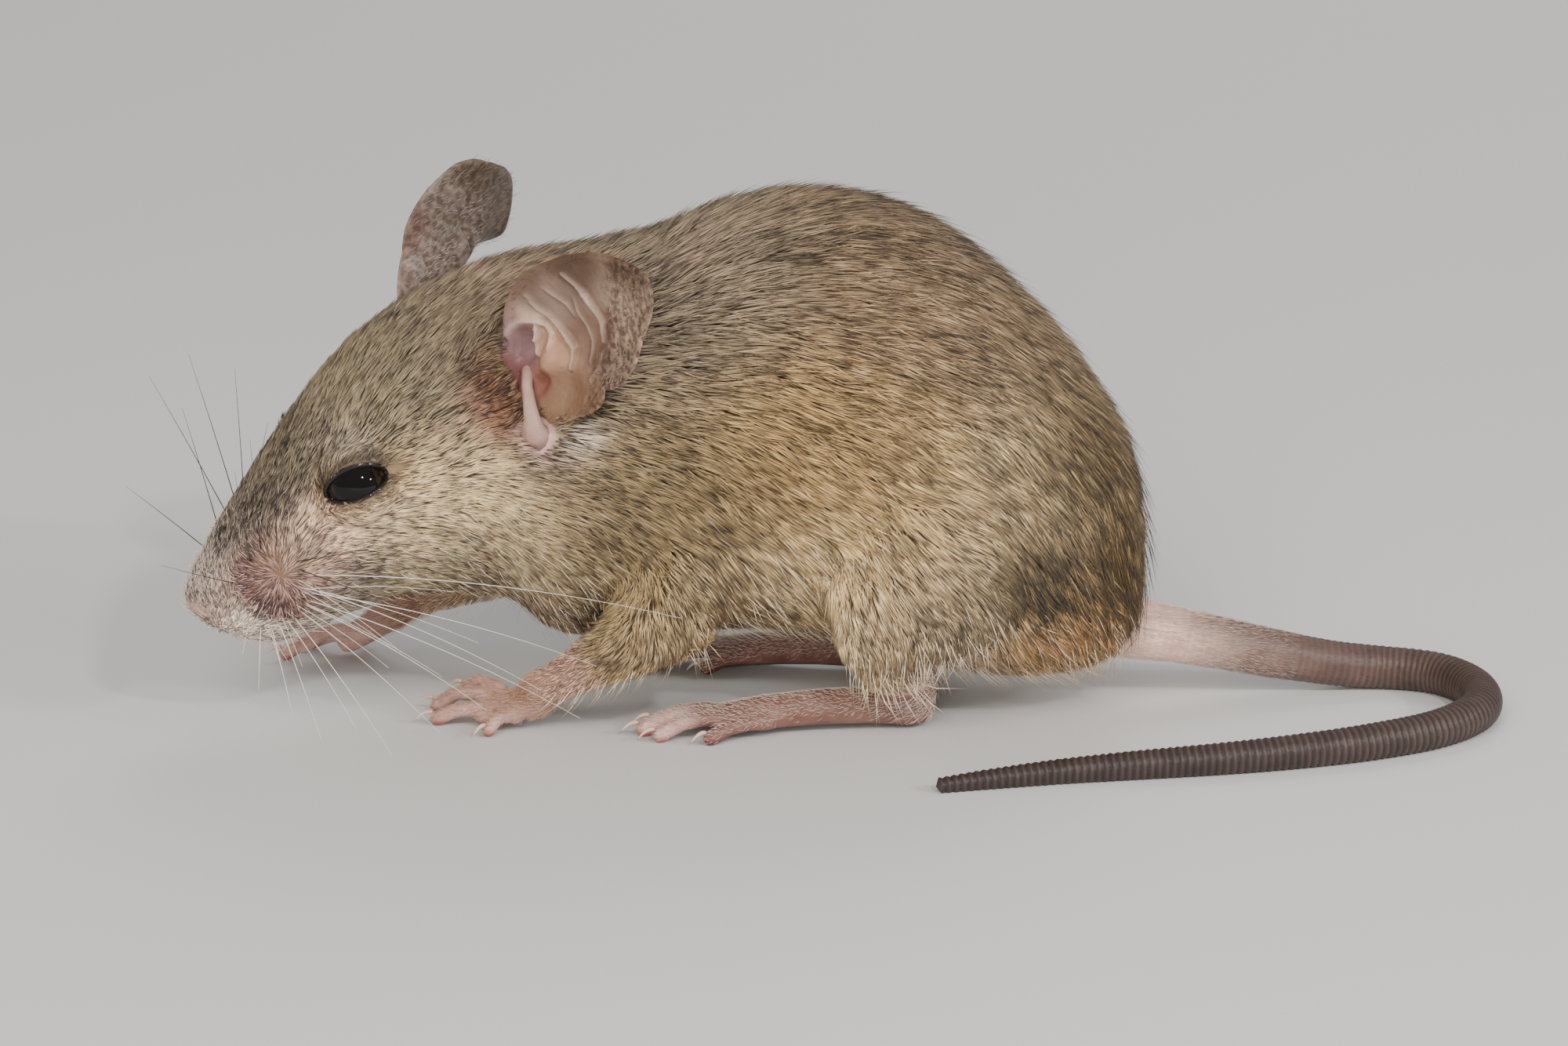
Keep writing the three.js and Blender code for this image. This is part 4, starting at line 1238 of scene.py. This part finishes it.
def grow(roots, normals, ways, length, height):
    """The root, middle and tip of every tuft, and the skin's normal at each; lengths in mm."""
    length, height = length[:, None] * MM, height[:, None] * MM
    middle, middle_normal = settle(roots + ways * length / 2)
    tip, tip_normal = settle(middle + laid(middle - roots, middle_normal) * length / 2)
    stations = [roots - normals * 0.06 * MM, middle + middle_normal * 0.6 * height, tip + tip_normal * height]
    return stations, [normals, middle_normal, tip_normal]


def draw_into_locks(stations, spacing, draw):
    """Tips drawn towards the tip of the nearest leader, one tuft in so many; gives each one's leader."""
    roots, middle, tip = stations
    leaders = rng.permutation(len(roots))[:: spacing]
    tree = kdtree.KDTree(len(leaders))
    for index, leader in enumerate(leaders):
        tree.insert(roots[leader], index)
    tree.balance()
    lead = leaders[np.array([tree.find(p)[1] for p in roots])]
    near = (lengths(tip[lead] - tip) < 1.6 * MM)[:, None]
    stations[1] = middle + np.where(near, 0.5 * draw * (middle[lead] - middle), 0)
    stations[2] = tip + np.where(near, draw * (tip[lead] - tip), 0)
    return lead


def unwrapped(points):
    """The skin rolled out flat: round the body's long axis, and along it from nose to tail."""
    return np.arctan2(points[:, 1] / MM - BODY_MIDDLE, points[:, 2] / MM - 13), points[:, 0]


def make_tufts(name, stations, normals, width, tone, colours, pale_root=0.0):
    """One closed mesh of flat pointed tufts, each with its own small patch of the OFBake map."""
    clear = np.minimum(stations[1][:, 2], stations[2][:, 2]) > 0.12 * MM
    stations, normals = [s[clear] for s in stations], [n[clear] for n in normals]
    width, tone, colours = width[clear], tone[clear], colours[clear]
    pale_root = np.broadcast_to(pale_root, len(clear))[clear]
    start, middle, tip = stations
    count = len(start)
    rings = []
    for at, ahead, behind, normal, share in (
        (start, middle, start, normals[0], 0.7),
        (middle, tip, start, normals[1], 1.0),
    ):
        side = unit(np.cross(ahead - behind, normal))
        half = side * (width * share / 2 * MM)[:, None]
        rings += [at - half, at + half, at + normal * (0.45 * width * share * MM)[:, None]]
    points = np.stack(rings + [tip], axis=1)
    points[:, :, 2] = np.maximum(points[:, :, 2], 0.02 * MM)
    shape = ((0, 1, 2), (0, 3, 4, 1), (1, 4, 5, 2), (2, 5, 3, 0), (3, 6, 4), (4, 6, 5), (5, 6, 3))
    corner = np.array([i for face in shape for i in face])
    sizes = np.tile([len(face) for face in shape], count)
    mesh = bpy.data.meshes.new(name)
    mesh.vertices.add(count * 7)
    mesh.vertices.foreach_set("co", points.ravel())
    mesh.loops.add(count * len(corner))
    mesh.loops.foreach_set("vertex_index", (corner + 7 * np.arange(count)[:, None]).ravel().astype(np.int32))
    mesh.polygons.add(len(sizes))
    starts = np.concatenate([[0], np.cumsum(sizes)[:-1]])
    mesh.polygons.foreach_set("loop_start", starts.astype(np.int32))
    mesh.polygons.foreach_set("loop_total", sizes.astype(np.int32))
    mesh.update(calc_edges=True)
    around, back = unwrapped(start)
    columns = math.ceil(math.sqrt(count))
    by_back = np.argsort(back)
    patch = np.empty((count, 2))
    for row in range(math.ceil(count / columns)):
        members = by_back[row * columns : (row + 1) * columns]
        members = members[np.argsort(around[members])]
        patch[members, 0] = (np.arange(len(members)) + 0.5) / columns
        patch[members, 1] = (row + 0.5) / columns
    across = np.array([-1, 1, 0, -1, 1, 0, 0])[corner] * 0.0013
    along = np.array([-1, -1, -1, 0, 0, 0, 1])[corner] * 0.0014
    bake = mesh.uv_layers.new(name="OFBake")
    spread = patch[:, None, :] + np.stack([across, along], axis=1)[None]
    bake.data.foreach_set("uv", spread.ravel().astype(np.float32))
    pale_root = pale_root[:, None]
    rootward = np.array([0, 0, 0, 0.5, 0.5, 0.5, 1])
    give_numbers(mesh, "along", (pale_root + (1 - pale_root) * rootward).ravel())
    give_numbers(mesh, "tone", np.repeat(tone, 7))
    give_colours(mesh, "marking_and_shade", np.repeat(colours, 7, axis=0))
    mesh.shade_smooth()
    piece = add_object(name, mesh)
    piece.data.materials.append(hair)
    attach(piece, "root")
    return piece


# Hair: slate felt at the root, buff along most of its length; some tips dark brown, some pale.
hair, shader = new_material("agouti_fur")
along, tone = painted(hair, "along"), painted(hair, "tone")
banding = ramp(hair, along, (0.05, "#6d665f"), (0.5, "#ffffff"))
banded = mixed(hair, 1.0, painted(hair, "marking_and_shade", "Color"), banding, "MULTIPLY")
tips = ramp(
    hair, tone, (0.0, "#3a3028"), (0.2, "#4c443d"), (0.38, "#a89f93"), (0.58, "#ded4c2"), (0.8, "#fdf2da"),
    (1.0, "#fffae6"),
)
tip_share = node(hair, "ShaderNodeMapRange", {"Value": along}, From_Min=0.3, From_Max=0.9).outputs["Result"]
tipped = mixed(hair, tip_share, banded, tips, "MULTIPLY")
HAIR_LIGHTNESS = (1.7, 1.84, 2.2, 1)  # makes up for the shadow between tufts
wire(hair, mixed(hair, 1.0, tipped, HAIR_LIGHTNESS, "MULTIPLY"), shader.inputs["Base Color"])
set_inputs(shader, Roughness=0.55, Specular_IOR_Level=0.22, Sheen_Weight=0.06, Sheen_Roughness=0.4)


def mixed_in(colours, share, code):
    """Colours with a share of one more sRGB colour."""
    return colours * (1 - share) + share * rgb(code)


def in_hollow(points):
    """True inside an ear's rim, where the head's skin lies close behind the leaf."""
    inside = np.zeros(len(points), bool)
    for side in EARS:
        u, v, off = in_leaf(points, side)
        deepest = np.minimum(ear_relief(u, v), 0) * MM - 1.1 * MM
        inside |= (np.hypot(u, v) < ear_rim(side, u, v) + 0.01) & (off > deepest) & (off < 2.4 * MM)
    return inside


def before_hollow(points):
    """Distance in mm to an ear's rim, for hair that lies towards its hollow."""
    nearest = np.full(len(points), 9.0)
    for side in EARS:
        u, v, off = in_leaf(points, side)
        ahead = (off > -0.9 * MM) & (off < 5 * MM) & (u < 0.4)
        reach = (np.hypot(u, v) - ear_rim(side, u, v)) * EAR_WIDTH / 2 / MM
        nearest = np.where(ahead, np.minimum(nearest, np.maximum(reach, 0)), nearest)
    return nearest


roots, root_owner, root_normals = (coat_roots[key] for key in ("points", "owner", "normals"))
root_back = in_head(roots)[:, 0]
density = np.interp(root_back, [0, 4, 10, 18, 27, 34], [95, 70, 52, 40, 29, 25])
density = np.where(np.isin(root_owner, LEGS), 30, density)
density *= (1 - bareness(roots, np.isin(root_owner, FEET))) * ~in_hollow(roots)
under, normals, owner, ways = sprout(density, 8)
back = in_head(under)[:, 0]
depth = coat_depth(under, owner)
length = np.interp(back, [0, 2, 5, 10, 15, 22, 30, 38], [0.4, 0.6, 0.95, 1.3, 1.6, 2.2, 2.8, 3.1])
length = np.where(np.isin(owner, LEGS), np.clip(depth * 2.1, 0.55, 2.2), length)
length = np.minimum(length, depth * 3.4 + 0.3) * rng.normal(1, 0.16, len(under)).clip(0.6, 1.5)
length = np.minimum(length, 0.35 + 0.6 * np.maximum(to_lids(under), 0))
length = np.minimum(length, 0.45 + 0.8 * before_hollow(under))
width = np.interp(length, [0.3, 0.8, 1.5, 3.0], [0.055, 0.07, 0.095, 0.125])
width *= rng.uniform(0.8, 1.2, len(under))
height = depth * rng.normal(0.95, 0.16, len(under)).clip(0.5, 1.35)
stations, facing = grow(under, normals, ways, length, height)
lead = draw_into_locks(stations, 7, 0.5)
tone = 0.5 * rng.random(len(under)) + 0.5 * rng.random(len(under))[lead]
dapple = np.array([noise.noise(p * 420) + 0.5 * noise.noise(p * 1100) for p in under[lead]])
cheek = smooth_step(8, 14, back) * (1 - smooth_step(22, 27, back))
belly = smooth_step(11, 3, under[:, 2] / MM) + 0.6 * cheek
tone = (0.5 + 1.45 * (tone - 0.5) + 0.28 * dapple + 0.14 * belly - 0.03).clip(0, 1)
colours = markings_and_shade(under) * rng.normal(1, 0.06, (len(under), 1)).clip(0.8, 1.2)
lashes = 1 - smooth_step(0.25, 0.8, to_lids(under))[:, None]
colours = mixed_in(colours, 0.85 * lashes, "#3b302a")
pale_root = 0.5 * (1 - smooth_step(0.6, 1.8, length))

# A tuft that would cross to another part of the body, or over an eye, is left out.
span = lengths(stations[2] - under) / MM
kept = (span > 0.55 * length) & (span < 1.6 * length + 0.2) & (np.sum(facing[0] * facing[2], axis=1) > -0.1)
kept &= to_lids(stations[2]) > 0.1

# The coat goes in pieces from nose to rump, each side its own.
left_side = under[:, 1] / MM < np.interp(under[:, 0] / MM, [-39, -20, -10], [-4.4, 1.5, BODY_MIDDLE])
for flank, label in ((True, "left"), (False, "right")):
    members = np.flatnonzero((left_side == flank) & kept)
    members = members[np.argsort(under[members, 0])]
    for number, group in enumerate(np.array_split(members, math.ceil(len(members) / PIECE_TUFTS))):
        make_tufts(
            f"coat_{label}_{number + 1}", [s[group] for s in stations], [n[group] for n in facing],
            width[group], tone[group], colours[group], pale_root[group],
        )

# Long hairs: pale ones hang from chin, throat, belly and rump, dark ones stand off the back.
def free_hairs(roots, out, ways, length, bend):
    """Stations of hairs that stand free of the skin and bend towards the lie; lengths in metres."""
    out, length = unit(out), length[:, None]
    return [roots, roots + out * length / 2, roots + (out + ways * bend) * length]


barred = np.isin(root_owner, FEET) | (roots[:, 2] < 2 * MM) | in_hollow(roots) | (to_lids(roots) < 4)
under_fringe = smooth_step(0.0, 0.5, -root_normals[:, 2]) * np.interp(root_back, [2, 6, 12], [0, 2.0, 3.2])
under_fringe *= ~barred * np.interp(root_back, [8, 24], [0.35, 1])
fringe, normals, owner, ways = sprout(under_fringe, 14)
length = rng.uniform(1.4, 3.2, len(fringe)) * np.interp(in_head(fringe)[:, 0], [2, 12, 26], [0.35, 0.6, 1])
out = ways * 0.72 + normals * 0.45 + np.array([0, 0, -0.35])
make_tufts(
    "fringe_hairs", free_hairs(fringe, out, ways, length * MM, 0.3), [normals] * 3,
    np.interp(length, [0.5, 3], [0.035, 0.06]), rng.uniform(0.6, 1, len(fringe)),
    mixed_in(markings_and_shade(fringe), 0.5, "#cfc4b0"), 0.5,
)
on_muzzle = np.interp(root_back, [0, 1.5, 6, 9], [20, 16, 7, 0]) * ~np.isin(root_owner, LEGS + FEET)
muzzle, normals, owner, ways = sprout(on_muzzle, 20)
out = ways * 0.8 + normals * rng.uniform(0.25, 0.8, (len(muzzle), 1))
length = rng.uniform(0.4, 0.85, len(muzzle))
make_tufts(
    "muzzle_hairs", free_hairs(muzzle, out, ways, length * MM, 0.25), [normals] * 3,
    np.full(len(muzzle), 0.034), rng.uniform(0.55, 1, len(muzzle)),
    mixed_in(markings_and_shade(muzzle), 0.55, "#c2b4a6"), 0.6,
)
on_back = smooth_step(-0.2, 0.4, root_normals[:, 2]) * smooth_step(-16, -6, roots[:, 0] / MM)
on_back *= smooth_step(12, 18, roots[:, 2] / MM)
on_rump = smooth_step(12, 15, roots[:, 0] / MM) * smooth_step(5, 9, roots[:, 2] / MM)
guard, normals, owner, ways = sprout(1.3 * np.maximum(on_back, on_rump), 8)
length = rng.uniform(3.6, 5.0, len(guard))
height = 1.15 + rng.uniform(0.1, 0.75, len(guard)) ** 1.5
stations, facing = grow(guard, normals, ways, length, height)
make_tufts(
    "guard_hairs", stations, facing, np.full(len(guard), 0.07), rng.uniform(0, 0.35, len(guard)),
    markings_and_shade(guard) * 0.6, 0.3,
)

# Feet: fine short whitish hairs over pink skin, longer at wrist and heel.
foot_cover = 40 * np.isin(root_owner, FEET) * smooth_step(-0.5, 0.3, root_normals[:, 2])
foot_cover = foot_cover + 26 * (1 - smooth_step(1.5, 3.2, to_wrist(roots))) * (roots[:, 2] > 0.8 * MM)
sparse, normals, owner, ways = sprout(foot_cover, 14)
length = np.interp(to_wrist(sparse), [1.5, 4], [0.95, 0.45]) * rng.uniform(0.7, 1.3, len(sparse))
stations, facing = grow(sparse, normals, ways, length, length * rng.uniform(0.1, 0.3, len(sparse)))
on_foreleg = sparse[:, :1] / MM < -12
make_tufts(
    "foot_hairs", stations, facing, np.full(len(sparse), 0.032), rng.uniform(0.6, 1, len(sparse)),
    np.where(on_foreleg, rgb("#a2826f"), rgb("#a6958d")), 0.85,
)

# Ears: very fine short hairs on the back, and inside towards the rear edge and rim.
for side in EARS:
    many = 1700
    reach, turn = np.sqrt(rng.uniform(0.02, 0.97, many)), rng.uniform(-math.pi, math.pi, many)
    edge = ear_edge(side, turn)
    u, v = np.cos(turn) * reach * edge, np.sin(turn) * reach * edge
    behind = rng.random(many) < 0.5
    shown = behind | (smooth_step(0.0, 0.5, u + 0.35 * v) > rng.random(many)) | (reach > 0.9)
    u, v, behind = u[shown], v[shown], behind[shown]
    nudge = 0.02
    seat = leaf(side, u, v, np.zeros(1))
    to_rear = leaf(side, u + nudge, v, np.zeros(1)) - seat
    to_tip = leaf(side, u, v + nudge, np.zeros(1)) - seat
    normal = unit(np.cross(to_rear, to_tip))
    face = list(ear_frame(side))[3]
    normal *= (np.sign(normal @ face) * np.where(behind, -1, 1))[:, None]
    way = swayed(unit(unit(to_tip) + 0.6 * unit(to_rear)), normal, 20)
    relief = np.where(behind, -np.minimum(ear_relief(u, v), 0), ear_relief(u, v))
    seat = seat + normal * (EAR_THICKNESS / 2 * 0.8 + relief * MM)[:, None]
    length = (rng.uniform(0.35, 0.65, len(u)) * MM)[:, None]
    tip = seat + (way + normal * 0.2) * length
    stations = [seat, seat + (way / 2 + normal * 0.14) * length, tip]
    pale = rng.random(len(u)) < 0.6
    colours = np.where(behind[:, None], ear_colours(EAR_BACK_MARKS, u, v), ear_colours(EAR_MARKS_AND_SHADE, u, v))
    colours = colours * np.where(pale, 1.25, 0.55)[:, None]
    width, tone = np.full(len(u), 0.028), np.full(len(u), 0.6)
    make_tufts(f"ear_{side}_hairs", stations, [normal] * 3, width, tone, colours, 0.6)

# Tail: a hair at every scale, pale and close at the rump, sparse and dark beyond.
at = np.concatenate([np.repeat(np.arange(2, len(tail_middle) - 4, 4), 9), rng.integers(0, 110, 3800)])
turn = rng.uniform(0, 2 * math.pi, len(at))
way = unit(np.gradient(tail_middle, axis=0))
side = unit(np.cross(way, [0.0, 0.0, 1.0]))
normal = np.cos(turn)[:, None] * side[at] + np.sin(turn)[:, None] * np.cross(side[at], way[at])
seat = tail_middle[at] + normal * (tail_radius[at] * 0.98)[:, None]
length = (np.interp(at, [0, 40, 110], [1.1, 0.6, 0.45]) * rng.uniform(0.7, 1.3, len(at)) * MM)[:, None]
out = way[at] + normal * 0.16
stations = [seat, seat + out * length / 2, seat + out * length]
dark_share = 1 - np.interp(at, [0, 40, 90, 150], [1, 0.8, 0.4, 0])[:, None]
colours = mixed_in(rgb("#c6b1a1"), dark_share, "#3c312c")
make_tufts("tail_hairs", stations, [normal] * 3, np.full(len(at), 0.03), np.full(len(at), 0.7), colours, 0.6)

# ---- Whiskers -----------------------------------------------------------------------------
# Stiff tapering bristles in rows on the pads: dark ones above that sweep up and back, longer
# white ones below that fan out past the feet, and short ones round the lips.
WHISKERS = (  # root: back, left and up from the nose tip; tip: row mm; dark or not
    ((5.3, 3.1, 1.8), (-34.9, -9.5, 19.5), True),
    ((6.1, 3.6, 1.6), (-33.3, -10.5, 18.6), True),
    ((4.4, 3.0, 1.5), (-35.8, -10.0, 17.7), True),
    ((6.3, 4.1, 0.6), (-28.0, -11.5, 13.4), True),
    ((6.3, 4.2, 0.2), (-25.7, -12.0, 10.0), True),
    ((3.2, 2.7, 0.6), (-40.4, -8.5, 11.6), True),
    ((6.3, 4.4, -0.35), (-9.8, -13.5, 9.8), False),
    ((6.0, 4.4, -1.0), (-18.0, -13.0, 5.3), False),
    ((5.8, 4.3, -1.4), (-14.7, -14.5, 7.2), False),
    ((5.6, 4.2, -1.8), (-15.7, -14.0, 3.9), False),
    ((5.4, 4.2, -2.0), (-21.2, -13.0, 4.1), False),
    ((5.0, 4.0, -2.2), (-24.0, -12.0, 2.4), False),
    ((4.6, 3.8, -2.4), (-26.8, -11.5, 0.8), False),
    ((4.2, 3.6, -2.5), (-29.0, -10.0, 2.0), False),
    ((3.8, 3.3, -2.5), (-31.1, -9.5, 1.1), False),
    ((3.4, 3.0, -2.4), (-32.9, -8.5, 2.5), False),
    ((3.0, 2.8, -2.2), (-34.9, -8.0, 3.8), False),
    ((5.2, 3.6, -0.6), (-21.6, -12.5, 8.0), False),
)
FAR_TIPS = (  # where the right side's dark whiskers end, in row mm
    (-42.4, 6.0, 19.5), (-40.1, 7.0, 20.7), (-40.3, 4.5, 17.9), (-37.4, 8.0, 19.5), (-35.5, 8.5, 16.0),
    (-43.7, 3.0, 13.4),
)
bristle, shader = new_material("whisker_keratin")
wire(bristle, mixed(bristle, painted(bristle, "dark"), "#ddd5cb", "#2c2522"), shader.inputs["Base Color"])
set_inputs(shader, Roughness=0.3)
for side, sign in (("left", 1), ("right", -1)):
    parts, faces, shade = [], [], []
    for number, ((back, left, up), end, is_dark) in enumerate(WHISKERS):
        if sign < 0:
            end = FAR_TIPS[number] if number < len(FAR_TIPS) else mirrored(end)
        seats = [(0, 0, 0)] if is_dark else [(0, 0, 0), (-0.5, -0.3, 0.35)]
        for shift in seats:
            root = on_head(back + shift[0] - 0.1, (left + shift[1] - 0.25) * sign, up + shift[2])
            root = root * 0.98 + 0.02 * on_head(back, 0, up)
            tip = np.array(end) * MM
            if shift[2]:
                tip = root + (tip - root) * rng.uniform(0.35, 0.6) + rng.normal(0, 1.3, 3) * MM
            long = np.linalg.norm(tip - root)
            bend = (root + tip) / 2 + np.array([0, -0.04 * sign, 0.07 if not is_dark else 0.0]) * long
            t = np.linspace(0, 1, 14)[:, None]
            line = root * (1 - t) ** 2 + 2 * bend * t * (1 - t) + tip * t**2
            line[:, 2] = np.maximum(line[:, 2], 0.25 * MM)
            thick = np.interp(t[:, 0], [0, 1], [0.026 if shift[2] else 0.036, 0.009]) * MM
            points, around = tube(line, thick, 5)
            faces += shifted(around, sum(len(p) for p in parts))
            parts.append(points)
            shade += [float(is_dark)] * len(points)
    whiskers = new_piece(f"whiskers_{side}", np.concatenate(parts), faces)
    give_numbers(whiskers.data, "dark", shade)
    whiskers.data.shade_smooth()
    whiskers.data.materials.append(bristle)
    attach(whiskers, "root")
